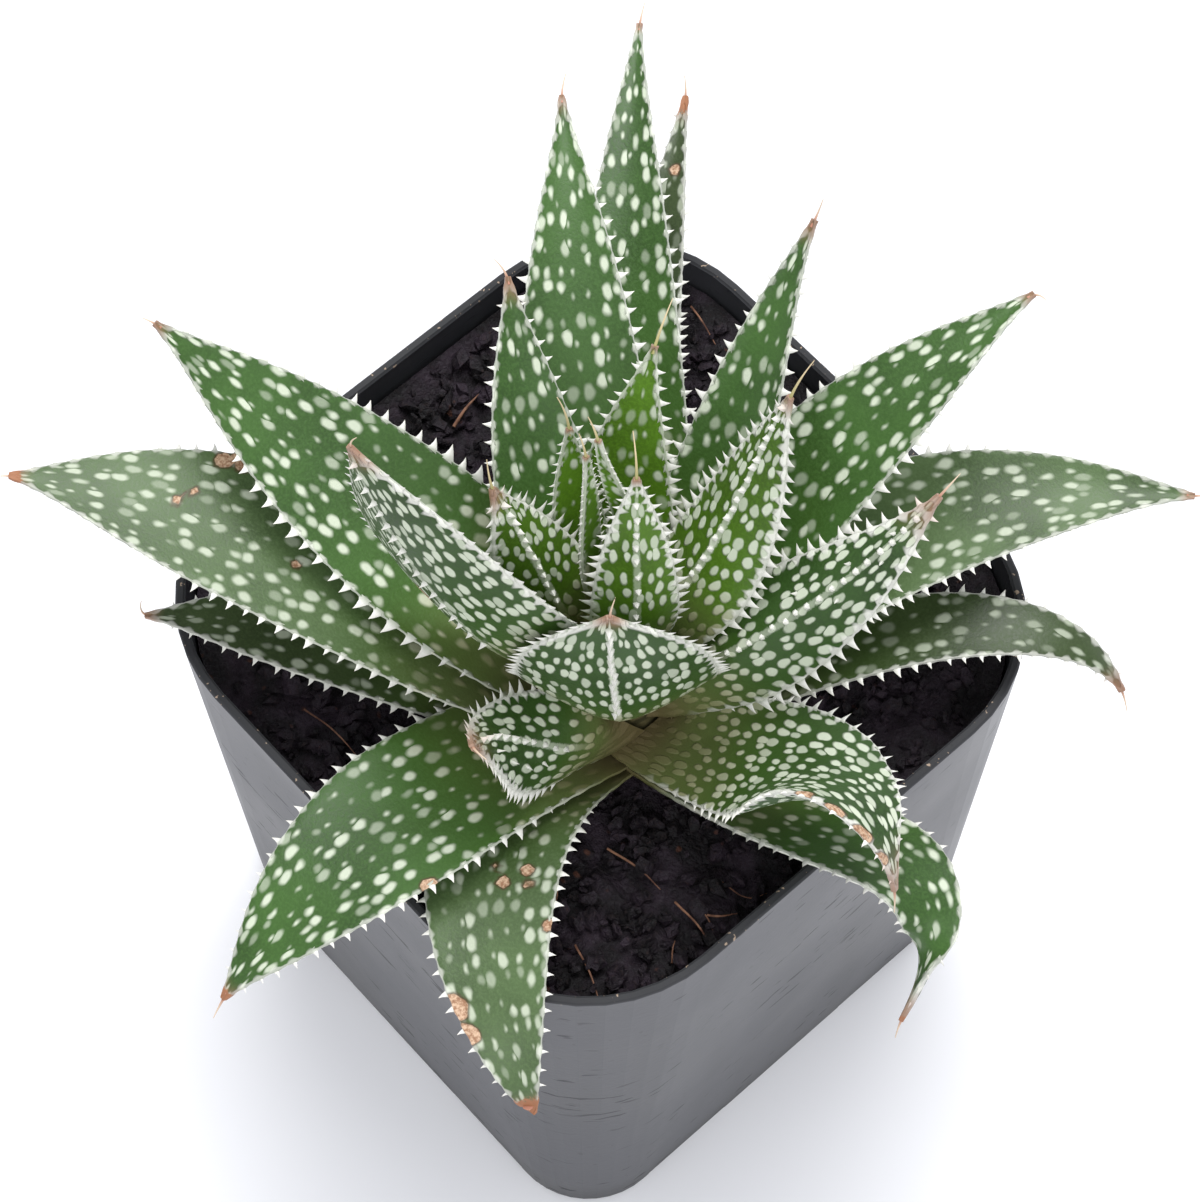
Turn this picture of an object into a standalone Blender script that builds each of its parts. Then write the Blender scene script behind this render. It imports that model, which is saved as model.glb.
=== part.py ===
"""A young lace aloe in a square nursery pot.

The origin is the middle of the pot's base, on the surface that it stands on. The pot's sides face X and Y.
Sizes below are in millimetres and become metres where a mesh is made. Headings are degrees round the plant,
pitches are degrees above level.
"""

import math
import random
from typing import NamedTuple

import bmesh
import bpy
import numpy as np
from mathutils import Matrix, Vector
from mathutils.geometry import delaunay_2d_cdt

MM = 0.001
GAP = 0.3
SMOOTH_ANGLE = 35.0

# The pot: a thin wall that widens upwards, with rounder corners at the rim than at the base.
POT_HEIGHT = 95.0
RIM_WIDTH = 90.0
RIM_CORNER = 22.5
BASE_WIDTH = 79.0
BASE_CORNER = 12.0
WALL = 1.3
FLOOR = 3.0
EDGE_ROUNDING = 0.3
BASE_ROUNDING = 1.0
CORNER_STEPS = 10

# Under the pot: two shallow notches in each side, and four drainage holes.
NOTCH_WIDTH = 15.0
NOTCH_OFFSET = 19.0
NOTCH_RISE = 1.3
NOTCH_REACH = 5.0
DRAIN_DIAMETER = 8.0
DRAIN_OFFSET = 21.0
DRAIN_SIDES = 20
CUT_DEPTH = 20.0

# The soil: coarse bark crumbs, lower than the rim and heaped against the two far walls, with a plain hole
# that the stem stands in.
SOIL_TOP = 85.5
SOIL_HEAP = 6.0
HEAP_WIDTH = 26.0
SOIL_RELIEF = 0.9
SOIL_CRUMB = 4.0
SOIL_SHIFT = 1.5
SOIL_SIDE_STEPS = 11
SOIL_SEED = 7
HOLE_SIDES = 24
ROUND_GAP = 0.1
DELAUNAY_NEAR = 1e-5

# The stem: short and tapered, hidden by the leaves.
STEM_RADIUS = 7.0
STEM_TOP_RADIUS = 2.6
STEM_RISE = 30.0
STEM_SUNK = 16.0
STEM_CAP = 1.4
STEM_CAP_RINGS = ((0.7, 0.7), (0.2, 1.0))
STEM_SIDES = 20

# The plant stands off the pot's middle, turned against the pot's sides. Leaves are placed in the plant's own
# frame: heading 0 is to the right and 90 is away, seen from the front corner of the pot.
PLANT_X = 11.0
PLANT_Y = -7.1
PLANT_TURN = 48.35
CROWN_FOOT = 90.0

# Every leaf: a thin horny edge with teeth, a keel below, and a bristle at the tip.
# The outline across a leaf: how far out each point is, and how far down into the channel or to the keel.
FACE_POINTS = ((-1.0, 0.0), (-0.5, 0.75), (0.0, 1.0), (0.5, 0.75), (1.0, 0.0))
BACK_POINTS = ((1.0, 0.0), (0.6, 0.62), (0.0, 1.0), (-0.6, 0.62), (-1.0, 0.0))
RING = len(FACE_POINTS) + len(BACK_POINTS)
EDGES = {4: 1, 9: -1}
KEEL = 7
EDGE = 0.31
ROOT_WIDTH = 0.48
ROOT_DEPTH = 0.62
ROOT_SHARE = 0.2
CHANNEL_SHARE = 0.3
CHANNEL_FALL = 0.6
TIP_DEPTH = 0.62
DEPTH_FALL = 1.5
STAND_OFF = 0.4
TIP_PINCH = 0.5
TIP_PINCH_POWER = 6
INWARD = 0.6
SETTLE = 0.15
BARE_ROOT = 0.1
TOOTH_LEAN = 0.35
TOOTH_SHRINK = 0.35
KEEL_FROM = 0.35
KEEL_SPINE = 0.7

POT_GREY = (0.12, 0.12, 0.13)
SOIL_BROWN = (0.022, 0.014, 0.012)
STEM_OLIVE = (0.16, 0.17, 0.07)
YOUNG_GREEN = (0.12, 0.24, 0.035)
LEAF_GREEN = (0.055, 0.13, 0.04)
OLD_GREEN = (0.085, 0.13, 0.06)
OLIVE_GREEN = (0.06, 0.075, 0.025)


class Leaf(NamedTuple):
    name: str
    base: tuple  # heading round the stem, height above the crown's foot
    start: tuple  # heading and pitch where it leaves the stem
    tip: tuple  # heading, reach and height of the tip
    end: tuple  # heading and pitch at the tip
    width: float
    thick: float
    channel: float  # how far the upper face dips between its edges, negative where it bulges
    face: tuple = None  # heading and pitch that the upper face looks to, where it isn't up and inward
    face_tip: tuple = None  # the same at the tip, where the leaf twists
    stations: int = 16
    taper: float = 1.75
    bow: float = 0.36  # how long the leaf keeps its first direction, as a share of its span
    tip_bow: float = 0.33  # the same for the direction at the tip
    widest: float = 0.27  # how far along the leaf it is widest
    tooth: float = 1.6
    tip_width: float = 0.64
    awn: float = 3.0
    keel: bool = False
    colour: tuple = LEAF_GREEN


LEAVES = [
    Leaf("leaf_far_left", (170, 6), (157, 25), (165, 77, 27), (176, 4), 23, 4.6, 1.2, taper=2.5, stations=18,
         colour=OLD_GREEN),
    Leaf("leaf_left_low", (178, -1), (160, 14), (171, 60, 9), (176, -10), 15, 3.0, 0.6, taper=2.3,
         stations=12, colour=OLIVE_GREEN),
    Leaf("leaf_upper_left", (143.5, 10.4), (156, 26), (148, 66, 38), (151, 30), 22, 4.6, 1.8, taper=1.9,
         stations=18),
    Leaf("leaf_inner_left", (185, 21.5), (186, 40), (167, 31, 58), (156, 62), 26, 4.2, 2.4, face=(60, 10),
         face_tip=(40, -20), taper=2.3, stations=18, keel=True),
    Leaf("leaf_small_left", (160, 23), (157, 50), (162, 15, 52), (140, 75), 12, 3.0, 0.8, face=(110, 20),
         face_tip=(160, -50), taper=1.9, stations=13, keel=True, colour=YOUNG_GREEN),
    Leaf("leaf_back_left", (95.5, 12.5), (103, 38), (95.5, 66.5, 40), (94, 10), 17, 4.4, 1.6, taper=1.6),
    Leaf("leaf_back_tall", (66, 5), (92, 28), (87.5, 84, 30), (84, 4), 15, 4.4, 1.6, taper=1.6),
    Leaf("leaf_back_dark", (54, 1.6), (100, 18), (83, 80, 20), (80, 8), 11, 3.6, 1.0, taper=1.8, stations=14,
         colour=OLIVE_GREEN),
    Leaf("leaf_back_short", (120, 16), (130, 52), (108, 42, 40), (98, 20), 14, 3.6, 1.4, taper=1.5,
         stations=13),
    Leaf("leaf_back_right", (30, 13), (56, 50), (60, 48, 50), (58, 35), 13.5, 4.0, 2.0, taper=1.5),
    Leaf("leaf_right_high", (26, 8), (50, 40), (36, 63, 40), (31, 12), 18, 4.6, 2.0, taper=1.9),
    Leaf("leaf_far_right", (11, 3.8), (48, 31), (14.5, 74, 22), (-8, 0), 21, 4.6, 1.6, taper=1.8,
         stations=18, colour=OLD_GREEN),
    Leaf("leaf_right_low", (-5, -1), (26, 22), (-0.5, 63.4, 6), (-50, -45), 11, 3.6, 0.6, taper=1.9,
         stations=14, colour=OLIVE_GREEN),
    Leaf("leaf_inner_right", (-12.5, 13), (-8, 47), (5, 37, 52), (35, 44), 14.5, 4.2, 1.0, face=(60, -40),
         face_tip=(65, -70), taper=1.8, stations=18, keel=True),
    Leaf("leaf_front_upright", (-85, 18), (-94, 72), (-96, 9, 46), (-95, 85), 24, 4.2, 2.4, face=(90, 20),
         taper=2.6, tooth=1.8, keel=True),
    Leaf("leaf_front_curled", (-104, 9.6), (-142, 22), (-133, 25, 30.5), (-88, 57), 13.4, 3.0, 1.0,
         face=(90, -30), face_tip=(-150, -14), bow=0.37, stations=14, keel=True),
    Leaf("leaf_front_right", (-60, 6), (-30, 20), (-47, 47, 25), (-80, -60), 18, 4.0, 0.4, face=(-90, 75),
         face_tip=(-10, 40), taper=1.1, tip_bow=0.5, widest=0.5, stations=16, bow=0.45),
    Leaf("leaf_right_drooping", (-46, -0.8), (-38, 12), (-50.5, 54, 0.2), (-126, -57), 15.5, 3.8, 0.8,
         face=(90, 56), taper=1.4, bow=0.6, tip_bow=0.7, widest=0.4, stations=18),
    Leaf("leaf_heart_back", (87, 20), (93, 66), (78, 22, 55), (66, 50), 13.5, 3.4, 1.4, taper=1.4,
         stations=12, colour=YOUNG_GREEN),
    Leaf("leaf_heart_left", (121, 25), (116, 48), (112, 14.5, 50), (92, 70), 7, 2.4, 0.8, stations=9,
         colour=YOUNG_GREEN),
    Leaf("leaf_spear_left", (150, 30), (118, 78), (118, 7.4, 56), (110, 75), 3.4, 1.6, 0.2, stations=6,
         tooth=0.8, colour=YOUNG_GREEN),
    Leaf("leaf_spear_right", (40, 30), (64, 77), (108, 6.8, 60), (120, 76), 3.4, 1.6, 0.2, stations=6,
         tooth=0.8, colour=YOUNG_GREEN),
    Leaf("leaf_heart_front", (-60, 26), (-60, 84), (60, 4.5, 55.5), (80, 80), 10.5, 3.0, 0.4, face=(95, 0),
         stations=10, keel=True, colour=YOUNG_GREEN),
    Leaf("leaf_heart_right", (10, 23), (12, 50), (31, 23, 60), (44, 72), 13, 3.4, 0.8, face=(50, -30),
         face_tip=(20, -55), taper=1.9, stations=13, keel=True, colour=YOUNG_GREEN),
    Leaf("leaf_front_left", (-138, 2.2), (-158, 25), (-141, 62, 2), (-136, -45), 21.4, 3.6, 1.0,
         face=(120, 80), taper=1.6, widest=0.4, stations=18),
    Leaf("leaf_front_low", (-113, -1), (-163, 24), (-102, 52.6, -3.5), (-50, -74), 18.5, 2.8, 0.8,
         face=(140, 74), taper=1.6, bow=0.5, tip_bow=0.4, tip_width=2.0, stations=14, awn=0.6,
         colour=OLD_GREEN),
]


def clear_scene():
    for obj in list(bpy.data.objects):
        bpy.data.objects.remove(obj, do_unlink=True)


def ray(heading, pitch):
    """The direction with this heading and pitch."""
    across = math.radians(heading)
    up = math.radians(pitch)
    return np.array([math.cos(across) * math.cos(up), math.sin(across) * math.cos(up), math.sin(up)])


def unit(vector):
    return vector / np.linalg.norm(vector)


def mix(first, last, share):
    return first + (last - first) * share


def ease(share):
    """0 to 1, quick at first and level at the end."""
    return math.sin(min(max(share, 0.0), 1.0) * math.pi / 2)


def principled(name, colour, roughness):
    material = bpy.data.materials.new(name)
    material.use_nodes = True
    shader = material.node_tree.nodes["Principled BSDF"]
    shader.inputs["Base Color"].default_value = (*colour, 1.0)
    shader.inputs["Roughness"].default_value = roughness
    shader.inputs["Metallic"].default_value = 0.0
    material.diffuse_color = (*colour, 1.0)
    return material


def placed(name, mesh, material, parent=None):
    """One object from a mesh, with its round faces shaded smooth."""
    mesh.shade_smooth()
    mesh.set_sharp_from_angle(angle=math.radians(SMOOTH_ANGLE))
    mesh.materials.append(material)
    obj = bpy.data.objects.new(name, mesh)
    bpy.context.scene.collection.objects.link(obj)
    obj.parent = parent
    return obj


def from_points(name, points, faces):
    """A mesh from points in millimetres and faces that look outwards."""
    mesh = bpy.data.meshes.new(name)
    mesh.from_pydata([tuple(float(value) * MM for value in point) for point in points], [], faces)
    return mesh


def from_bmesh(name, shape):
    """A mesh from a bmesh in millimetres."""
    bmesh.ops.scale(shape, vec=(MM, MM, MM), verts=shape.verts)
    bmesh.ops.recalc_face_normals(shape, faces=shape.faces)
    mesh = bpy.data.meshes.new(name)
    shape.to_mesh(mesh)
    shape.free()
    return mesh


def lofted(name, loops):
    """A closed solid bridged through loops of equal length."""
    shape = bmesh.new()
    rows = []
    for loop in loops:
        corners = [shape.verts.new(point) for point in loop]
        rows.append([shape.edges.new(pair) for pair in zip(corners, corners[1:] + corners[:1])])
        if loop in (loops[0], loops[-1]):
            shape.faces.new(corners)
    for low, high in zip(rows, rows[1:]):
        bmesh.ops.bridge_loops(shape, edges=low + high)
    return from_bmesh(name, shape)


def circle(radius, height, sides, middle=(0.0, 0.0)):
    turns = [math.tau * step / sides for step in range(sides)]
    return [(middle[0] + radius * math.cos(t), middle[1] + radius * math.sin(t), height) for t in turns]


def pot_loop(height, inset, side_steps=1):
    """The pot's outline at this height, moved inwards, with each straight side in this many steps."""
    share = height / POT_HEIGHT
    corner = mix(BASE_CORNER, RIM_CORNER, share) - inset
    middle = mix(BASE_WIDTH, RIM_WIDTH, share) / 2 - inset - corner
    points = []
    for quarter in range(4):
        turn = math.radians(45 + 90 * quarter)
        across = math.copysign(middle, math.cos(turn))
        along = math.copysign(middle, math.sin(turn))
        for step in range(CORNER_STEPS + 1):
            angle = math.radians(90 * (quarter + step / CORNER_STEPS))
            points.append((across + corner * math.cos(angle), along + corner * math.sin(angle), height))
        x, y, _ = points[-1]
        towards = math.radians(90 * (quarter + 2))
        for step in range(1, side_steps):
            moved = 2 * middle * step / side_steps
            points.append((x + moved * math.cos(towards), y + moved * math.sin(towards), height))
    return points


def pot_cuts():
    """The notches in the lower edge and the drainage holes, as one cutter."""
    shape = bmesh.new()
    across = Matrix.Diagonal((2 * NOTCH_REACH, NOTCH_WIDTH, 2 * NOTCH_RISE, 1.0))
    for quarter in range(4):
        turn = Matrix.Rotation(math.radians(90 * quarter), 4, "Z")
        for place in (-NOTCH_OFFSET, NOTCH_OFFSET):
            spot = Matrix.Translation((BASE_WIDTH / 2, place, 0.0))
            bmesh.ops.create_cube(shape, size=1.0, matrix=turn @ spot @ across)
        bmesh.ops.create_cone(
            shape, cap_ends=True, segments=DRAIN_SIDES, depth=CUT_DEPTH,
            radius1=DRAIN_DIAMETER / 2, radius2=DRAIN_DIAMETER / 2,
            matrix=turn @ Matrix.Translation((DRAIN_OFFSET, DRAIN_OFFSET, 0.0)),
        )
    return from_bmesh("pot_cutter", shape)


def make_pot():
    plastic = principled("pot_plastic", POT_GREY, 0.5)
    loops = [
        pot_loop(0.0, BASE_ROUNDING),
        pot_loop(BASE_ROUNDING, 0.0),
        pot_loop(POT_HEIGHT - EDGE_ROUNDING, 0.0),
        pot_loop(POT_HEIGHT, EDGE_ROUNDING),
        pot_loop(POT_HEIGHT, WALL - EDGE_ROUNDING),
        pot_loop(POT_HEIGHT - EDGE_ROUNDING, WALL),
        pot_loop(FLOOR, WALL),
    ]
    pot = placed("pot", lofted("pot", loops), plastic)
    cutter = placed("pot_cutter", pot_cuts(), plastic)
    cutter.display_type = "WIRE"
    cutter.hide_render = True
    cut = pot.modifiers.new("notches and drainage", "BOOLEAN")
    cut.operation = "DIFFERENCE"
    cut.solver = "EXACT"
    cut.object = cutter
    return pot


def soil_height(x, y):
    near = RIM_WIDTH / 2 + min(x, -y)
    return SOIL_TOP + SOIL_HEAP * (1 - ease(near / HEAP_WIDTH))


def crumb_points(rng, reach):
    """Points of a square net, each moved a little, clear of the pot's wall and of the stem's hole."""
    steps = int(reach // SOIL_CRUMB)
    clear = STEM_RADIUS + GAP + SOIL_CRUMB / 2
    found = []
    for row in range(-steps, steps + 1):
        for column in range(-steps, steps + 1):
            x = column * SOIL_CRUMB + rng.uniform(-SOIL_SHIFT, SOIL_SHIFT)
            y = row * SOIL_CRUMB + rng.uniform(-SOIL_SHIFT, SOIL_SHIFT)
            height = soil_height(x, y) + rng.uniform(-SOIL_RELIEF, SOIL_RELIEF)
            inside = math.hypot(max(abs(x) - reach + RIM_CORNER, 0), max(abs(y) - reach + RIM_CORNER, 0))
            if inside < RIM_CORNER - SOIL_CRUMB / 2 and math.hypot(x - PLANT_X, y - PLANT_Y) > clear:
                found.append((x, y, height))
    return found


def make_soil():
    """Crumbs of bark between the pot's wall and the hole that the stem stands in."""
    rng = random.Random(SOIL_SEED)
    wall = WALL + GAP
    floor = pot_loop(FLOOR + GAP, wall, SOIL_SIDE_STEPS)
    outer = [(x, y, soil_height(x, y)) for x, y, _ in pot_loop(SOIL_TOP, wall, SOIL_SIDE_STEPS)]
    hole = [circle(STEM_RADIUS + GAP + ROUND_GAP, height, HOLE_SIDES, (PLANT_X, PLANT_Y))
            for height in (SOIL_TOP, CROWN_FOOT - STEM_SUNK - GAP)]
    crumbs = crumb_points(rng, RIM_WIDTH / 2 - wall)
    points = outer + hole[0] + crumbs
    flat = [Vector(point[:2]) for point in points]
    around, within = len(outer), len(outer) + HOLE_SIDES
    edges = [(step, (step + 1) % around) for step in range(around)]
    edges += [(around + step, around + (step + 1) % HOLE_SIDES) for step in range(HOLE_SIDES)]
    _, _, net, _, _, _ = delaunay_2d_cdt(flat, edges, [], 0, DELAUNAY_NEAR)
    faces = [tuple(face) for face in net if not all(around <= corner < within for corner in face)]
    first = len(points)
    points += floor + hole[1]
    for step in range(around):
        after = (step + 1) % around
        faces.append((first + step, first + after, after, step))
    for step in range(HOLE_SIDES):
        after = (step + 1) % HOLE_SIDES
        low = first + around
        faces.append((around + step, around + after, low + after, low + step))
    faces.append(tuple(reversed(range(first, first + around))))
    faces.append(tuple(range(first + around, len(points))))
    return placed("soil", from_points("soil", points, faces), principled("soil_bark", SOIL_BROWN, 0.95))


def stem_radius(height):
    return mix(STEM_RADIUS, STEM_TOP_RADIUS, min(max(height / STEM_RISE, 0.0), 1.0))


def stem_slope():
    """The pitch of a line square to the stem's side."""
    return math.degrees(math.atan2(STEM_RADIUS - STEM_TOP_RADIUS, STEM_RISE))


def make_stem(plant):
    outline = [(STEM_RADIUS, -STEM_SUNK), (STEM_RADIUS, 0.0), (STEM_TOP_RADIUS, STEM_RISE)]
    outline += [(STEM_TOP_RADIUS * width, STEM_RISE + STEM_CAP * rise) for width, rise in STEM_CAP_RINGS]
    loops = [circle(radius, height, STEM_SIDES) for radius, height in outline]
    return placed("stem", lofted("stem", loops), principled("stem_skin", STEM_OLIVE, 0.7), plant)


def leaf_line(leaf, share):
    """The place and direction of the leaf's middle, this share of the way from the stem to the tip."""
    heading, height = leaf.base
    first = ray(heading, 0) * (stem_radius(height) + STAND_OFF) + (0, 0, height)
    last = ray(leaf.tip[0], 0) * leaf.tip[1] + (0, 0, leaf.tip[2])
    span = np.linalg.norm(last - first)
    second = first + ray(*leaf.start) * span * leaf.bow
    third = last - ray(*leaf.end) * span * leaf.tip_bow
    left = 1 - share
    place = left**3 * first + 3 * left**2 * share * second + 3 * left * share**2 * third + share**3 * last
    along = left**2 * (second - first) + 2 * left * share * (third - second) + share**2 * (last - third)
    # Near the root it turns square to the stem's side, so that the root lies flat on it.
    along = mix(ray(heading, stem_slope()), unit(along), ease(share / SETTLE))
    return place, unit(along)


def half_width(leaf, share):
    """Narrow at the root, widest some way along, and drawn out to a point at the tip."""
    if share < leaf.widest:
        return leaf.width / 2 * mix(ROOT_WIDTH, 1.0, ease(share / leaf.widest))
    past = (share - leaf.widest) / (1 - leaf.widest)
    fullness = (1 - past**leaf.taper) * (1 - TIP_PINCH * past**TIP_PINCH_POWER)
    return mix(leaf.tip_width / 2, leaf.width / 2, fullness)


def depth(leaf, share):
    """From the middle of the upper face to the keel."""
    root = mix(ROOT_DEPTH, 1.0, ease(share / ROOT_SHARE))
    return TIP_DEPTH + (leaf.thick - TIP_DEPTH) * root * (1 - share**DEPTH_FALL)


def leaf_frame(leaf, share, along):
    """The leaf's sideways and upward directions."""
    facing = ray(*leaf.face) if leaf.face else np.array([0, 0, 1]) - INWARD * ray(leaf.base[0], 0)
    if leaf.face_tip:
        facing = mix(facing, ray(*leaf.face_tip), share)
    up = unit(facing - along * (facing @ along))
    return np.cross(along, up), up


def leaf_ring(leaf, share):
    """Points round the leaf: over the upper face from left to right, then back under the keel."""
    place, along = leaf_line(leaf, share)
    side, up = leaf_frame(leaf, share, along)
    half = half_width(leaf, share)
    dip = leaf.channel * ease(share / CHANNEL_SHARE) * (1 - share) ** CHANNEL_FALL
    keel = EDGE - dip - depth(leaf, share)
    outline = [(across, EDGE - dip * down) for across, down in FACE_POINTS]
    outline += [(across, mix(-EDGE, keel, down)) for across, down in BACK_POINTS]
    return [place + side * across * half + up * height for across, height in outline]


def add_tooth(leaf, share, corners, outward, points, faces):
    """A pyramid on one patch of the leaf's edge, leaning towards the tip."""
    along = leaf_line(leaf, share)[1]
    side = leaf_frame(leaf, share, along)[0] * outward
    size = leaf.tooth * (1 - TOOTH_SHRINK * share)
    middle = sum(points[corner] for corner in corners) / 4
    points.append(middle + (side + along * TOOTH_LEAN) * size)
    apex = len(points) - 1
    for first, second in zip(corners, corners[1:] + corners[:1]):
        faces.append((first, second, apex))


def add_keel_spine(leaf, share, ring, points, faces):
    """A spine raised from the keel's line between two rings."""
    up = leaf_frame(leaf, share, leaf_line(leaf, share)[1])[1]
    low, high = ring * RING, (ring + 1) * RING
    near, far = low + KEEL, high + KEEL
    points.append((points[near] + points[far]) / 2 - up * KEEL_SPINE)
    spine = len(points) - 1
    faces.append((near - 1, near, spine, far - 1))
    faces.append((spine, far, far - 1))
    faces.append((near, near + 1, far + 1, spine))
    faces.append((spine, far + 1, far))


def make_leaf(leaf, plant, material):
    points, faces = [], []
    for ring in range(leaf.stations + 1):
        points += leaf_ring(leaf, ring / leaf.stations)
    for ring in range(leaf.stations):
        share = ring / leaf.stations
        spiny = leaf.keel and KEEL_FROM <= share and ring < leaf.stations - 1
        for step in range(RING):
            low, high = ring * RING, (ring + 1) * RING
            after = (step + 1) % RING
            corners = [low + step, low + after, high + after, high + step]
            if step in EDGES and share > BARE_ROOT:
                add_tooth(leaf, share + 0.5 / leaf.stations, corners, EDGES[step], points, faces)
            elif not spiny or step not in (KEEL - 1, KEEL):
                faces.append((corners[0], corners[1], corners[2]))
                faces.append((corners[0], corners[2], corners[3]))
        if spiny:
            add_keel_spine(leaf, share + 0.5 / leaf.stations, ring, points, faces)
    root = leaf_line(leaf, 0.0)[0]
    end, along = leaf_line(leaf, 1.0)
    points += [root, end + along * leaf.awn]
    last = leaf.stations * RING
    for step in range(RING):
        after = (step + 1) % RING
        faces.append((after, step, len(points) - 2))
        faces.append((last + step, last + after, len(points) - 1))
    return placed(leaf.name, from_points(leaf.name, points, faces), material, plant)


def main():
    clear_scene()
    make_pot()
    make_soil()
    plant = bpy.data.objects.new("plant", None)
    bpy.context.scene.collection.objects.link(plant)
    plant.location = (PLANT_X * MM, PLANT_Y * MM, CROWN_FOOT * MM)
    plant.rotation_euler.z = math.radians(PLANT_TURN)
    make_stem(plant)
    for leaf in LEAVES:
        make_leaf(leaf, plant, principled(leaf.name + "_skin", leaf.colour, 0.45))


main()
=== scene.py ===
"""The looks of a young lace aloe in a square nursery pot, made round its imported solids.

Everything is in metres in the frame of the solids, where +Z is up and the pot stands on z = 0. The leaf
table is in millimetres in the plant's own frame: heading 0 is to the right of the photograph, and 90 is
away from it.
"""

import math
import random
from typing import NamedTuple

import bmesh
import bpy
import numpy as np
from mathutils import Matrix, Vector


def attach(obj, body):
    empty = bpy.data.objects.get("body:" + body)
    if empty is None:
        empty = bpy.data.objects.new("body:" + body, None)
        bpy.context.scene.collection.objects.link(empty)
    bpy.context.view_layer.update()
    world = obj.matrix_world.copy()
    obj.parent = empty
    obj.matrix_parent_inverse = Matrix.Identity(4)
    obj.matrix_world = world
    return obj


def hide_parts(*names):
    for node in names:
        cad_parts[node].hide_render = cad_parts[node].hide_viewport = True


bl_info = {
    "name": "Potted aloe",
    "version": (1, 0, 0),
    "blender": (4, 5, 0),
    "location": "3D View > Sidebar > Aloe",
    "description": "A young lace aloe in a square nursery pot: leaves, bark, pot, and a studio",
    "category": "Object",
}

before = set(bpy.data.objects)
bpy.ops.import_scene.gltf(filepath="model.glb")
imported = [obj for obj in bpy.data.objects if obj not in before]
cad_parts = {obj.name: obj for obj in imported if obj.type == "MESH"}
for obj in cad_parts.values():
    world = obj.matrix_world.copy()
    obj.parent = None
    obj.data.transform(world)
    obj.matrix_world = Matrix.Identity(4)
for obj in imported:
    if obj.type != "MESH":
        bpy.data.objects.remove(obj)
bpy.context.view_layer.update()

MM = 0.001
BODY = "root"
SMOOTH_ANGLE = 40.0

# The plant's frame: where the crown's foot stands, and how far it is turned from the pot's sides.
PLANT_X = 11.0
PLANT_Y = -7.1
PLANT_TURN = 48.35
CROWN_FOOT = 90.0
STEM_RADIUS = 7.0
STEM_TOP_RADIUS = 2.6
STEM_RISE = 30.0
STAND_OFF = 0.4

# A leaf across and along: the same forms as the solids, with a broader foot that clasps the crown.
SIDES = 36
RING_STEP = 0.62
FEWEST_RINGS = 12
MOST_RINGS = 100
LINE_STEPS = 120
EDGE = 0.31
EDGE_SHARE = 0.3
EDGE_ROUNDING = 0.6
ROUND_BELLY = 1.9
KEELED_BELLY = 1.5
ROOT_WIDTH = 0.8
ROOT_DEPTH = 0.75
ROOT_SHARE = 0.2
CLASP_SHARE = 0.3
CLASP_RADIUS = 11.0
CHANNEL_SHARE = 0.3
CHANNEL_FALL = 0.6
TIP_DEPTH = 0.62
DEPTH_FALL = 1.5
INWARD = 0.6
SETTLE = 0.15
TIP_PINCH = 0.5
TIP_PINCH_POWER = 6

# The skin: over how much of their reach the pink and the dry brown fade, and where the keel's ridge starts.
PINK_FADE = 1.6
DRY_FADE = 2.0
KEEL_START = 0.125

# The teeth of the edges: the edge flares out under each, and they grow larger over a short way from the
# bare root and smaller towards the tip. They are sunk into the skin, thinner in the middle, and hooked.
TOOTH_FLARE = 0.16
FLARE_POWER = 10
BARE_ROOT = 0.12
TOOTH_GROWTH = 0.12
LAST_TOOTH = 0.985
TOOTH_STRAY = 0.16
TOOTH_SIZES = (0.78, 1.12)
TOOTH_TILTS = (-0.12, 0.2)
TIP_TOOTH = 0.55
TOOTH_BREADTH = 1.3
TOOTH_THICKNESS = 0.7
TIP_TOOTH_THICKNESS = 0.7
TOOTH_SUNK = 0.4
TOOTH_WAIST = 0.25
TOOTH_HOOK = 0.28

# The beads of the keel. The pairs go from a leaf with a faint keel to one with a full keel.
BEAD_GAPS = (2.6, 1.2)
BEAD_BREADTHS = (1.1, 1.9)
BEAD_SIZES = (0.75, 1.1)
ROOT_BEAD = 0.7
BEAD_RANGE = (0.25, 0.97)
BEAD_STRAY = 0.2
BEAD_SHIFT = 0.03
BEAD_ROOT = 0.45
BEAD_THICKNESS = 1.3
BEAD_SUNK = 0.35

# A lone spine on a leaf's back: its length, breadth, thickness, depth in the skin and lean to the side.
SPINE = (1.5, 0.9, 0.7, 0.3)
SPINE_LEAN = 0.8

# The bristle that a leaf ends in. It starts inside the leaf, and turns to the leaf's curl on its way.
AWN_RINGS = 14
AWN_SIDES = 8
AWN_ROOT = 1.0
AWN_STRAIGHT = 0.3
AWN_FOOT = 0.25
AWN_FOOT_SHARE = 0.8
AWN_POINT = 0.05
AWN_TAPER = 0.7
YOUNG_AWN_PINK = 0.25
NO_AWN_WAY = (0.31, 0.52, 0.8)

# The pot's inside, where the bark lies, heaped towards the two far walls.
POT_HEIGHT = 95.0
RIM_WIDTH = 90.0
RIM_CORNER = 22.5
WALL = 1.3
WALL_GAP = 1.0
SOIL_TOP = 85.5
SOIL_HEAP = 6.0
HEAP_WIDTH = 26.0
CRUMB_FIELD = 43.0
CRUMB_SEED = 11
CRUMB_SHAPES = 6
CRUMB_LENGTHS = (0.45, 1.5)
CRUMB_BREADTHS = (0.45, 0.75)
CRUMB_THICKNESSES = (0.3, 0.5)
CRUMB_CRAG = 0.35
CRUMB_KNOCK = 0.07
CRUMB_HEIGHTS = (-0.2, 1.5)
CRUMB_ROLL = 0.5
CRUMB_PITCH = 0.4
BARE_RADIUS = 6.0
FIBRE_THINNING = (1.0, 0.8, 0.35)
FIBRE_ROUNDNESS = 2
FIBRE_STEPS = 8
SAME_PLACE = 0.000001

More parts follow.
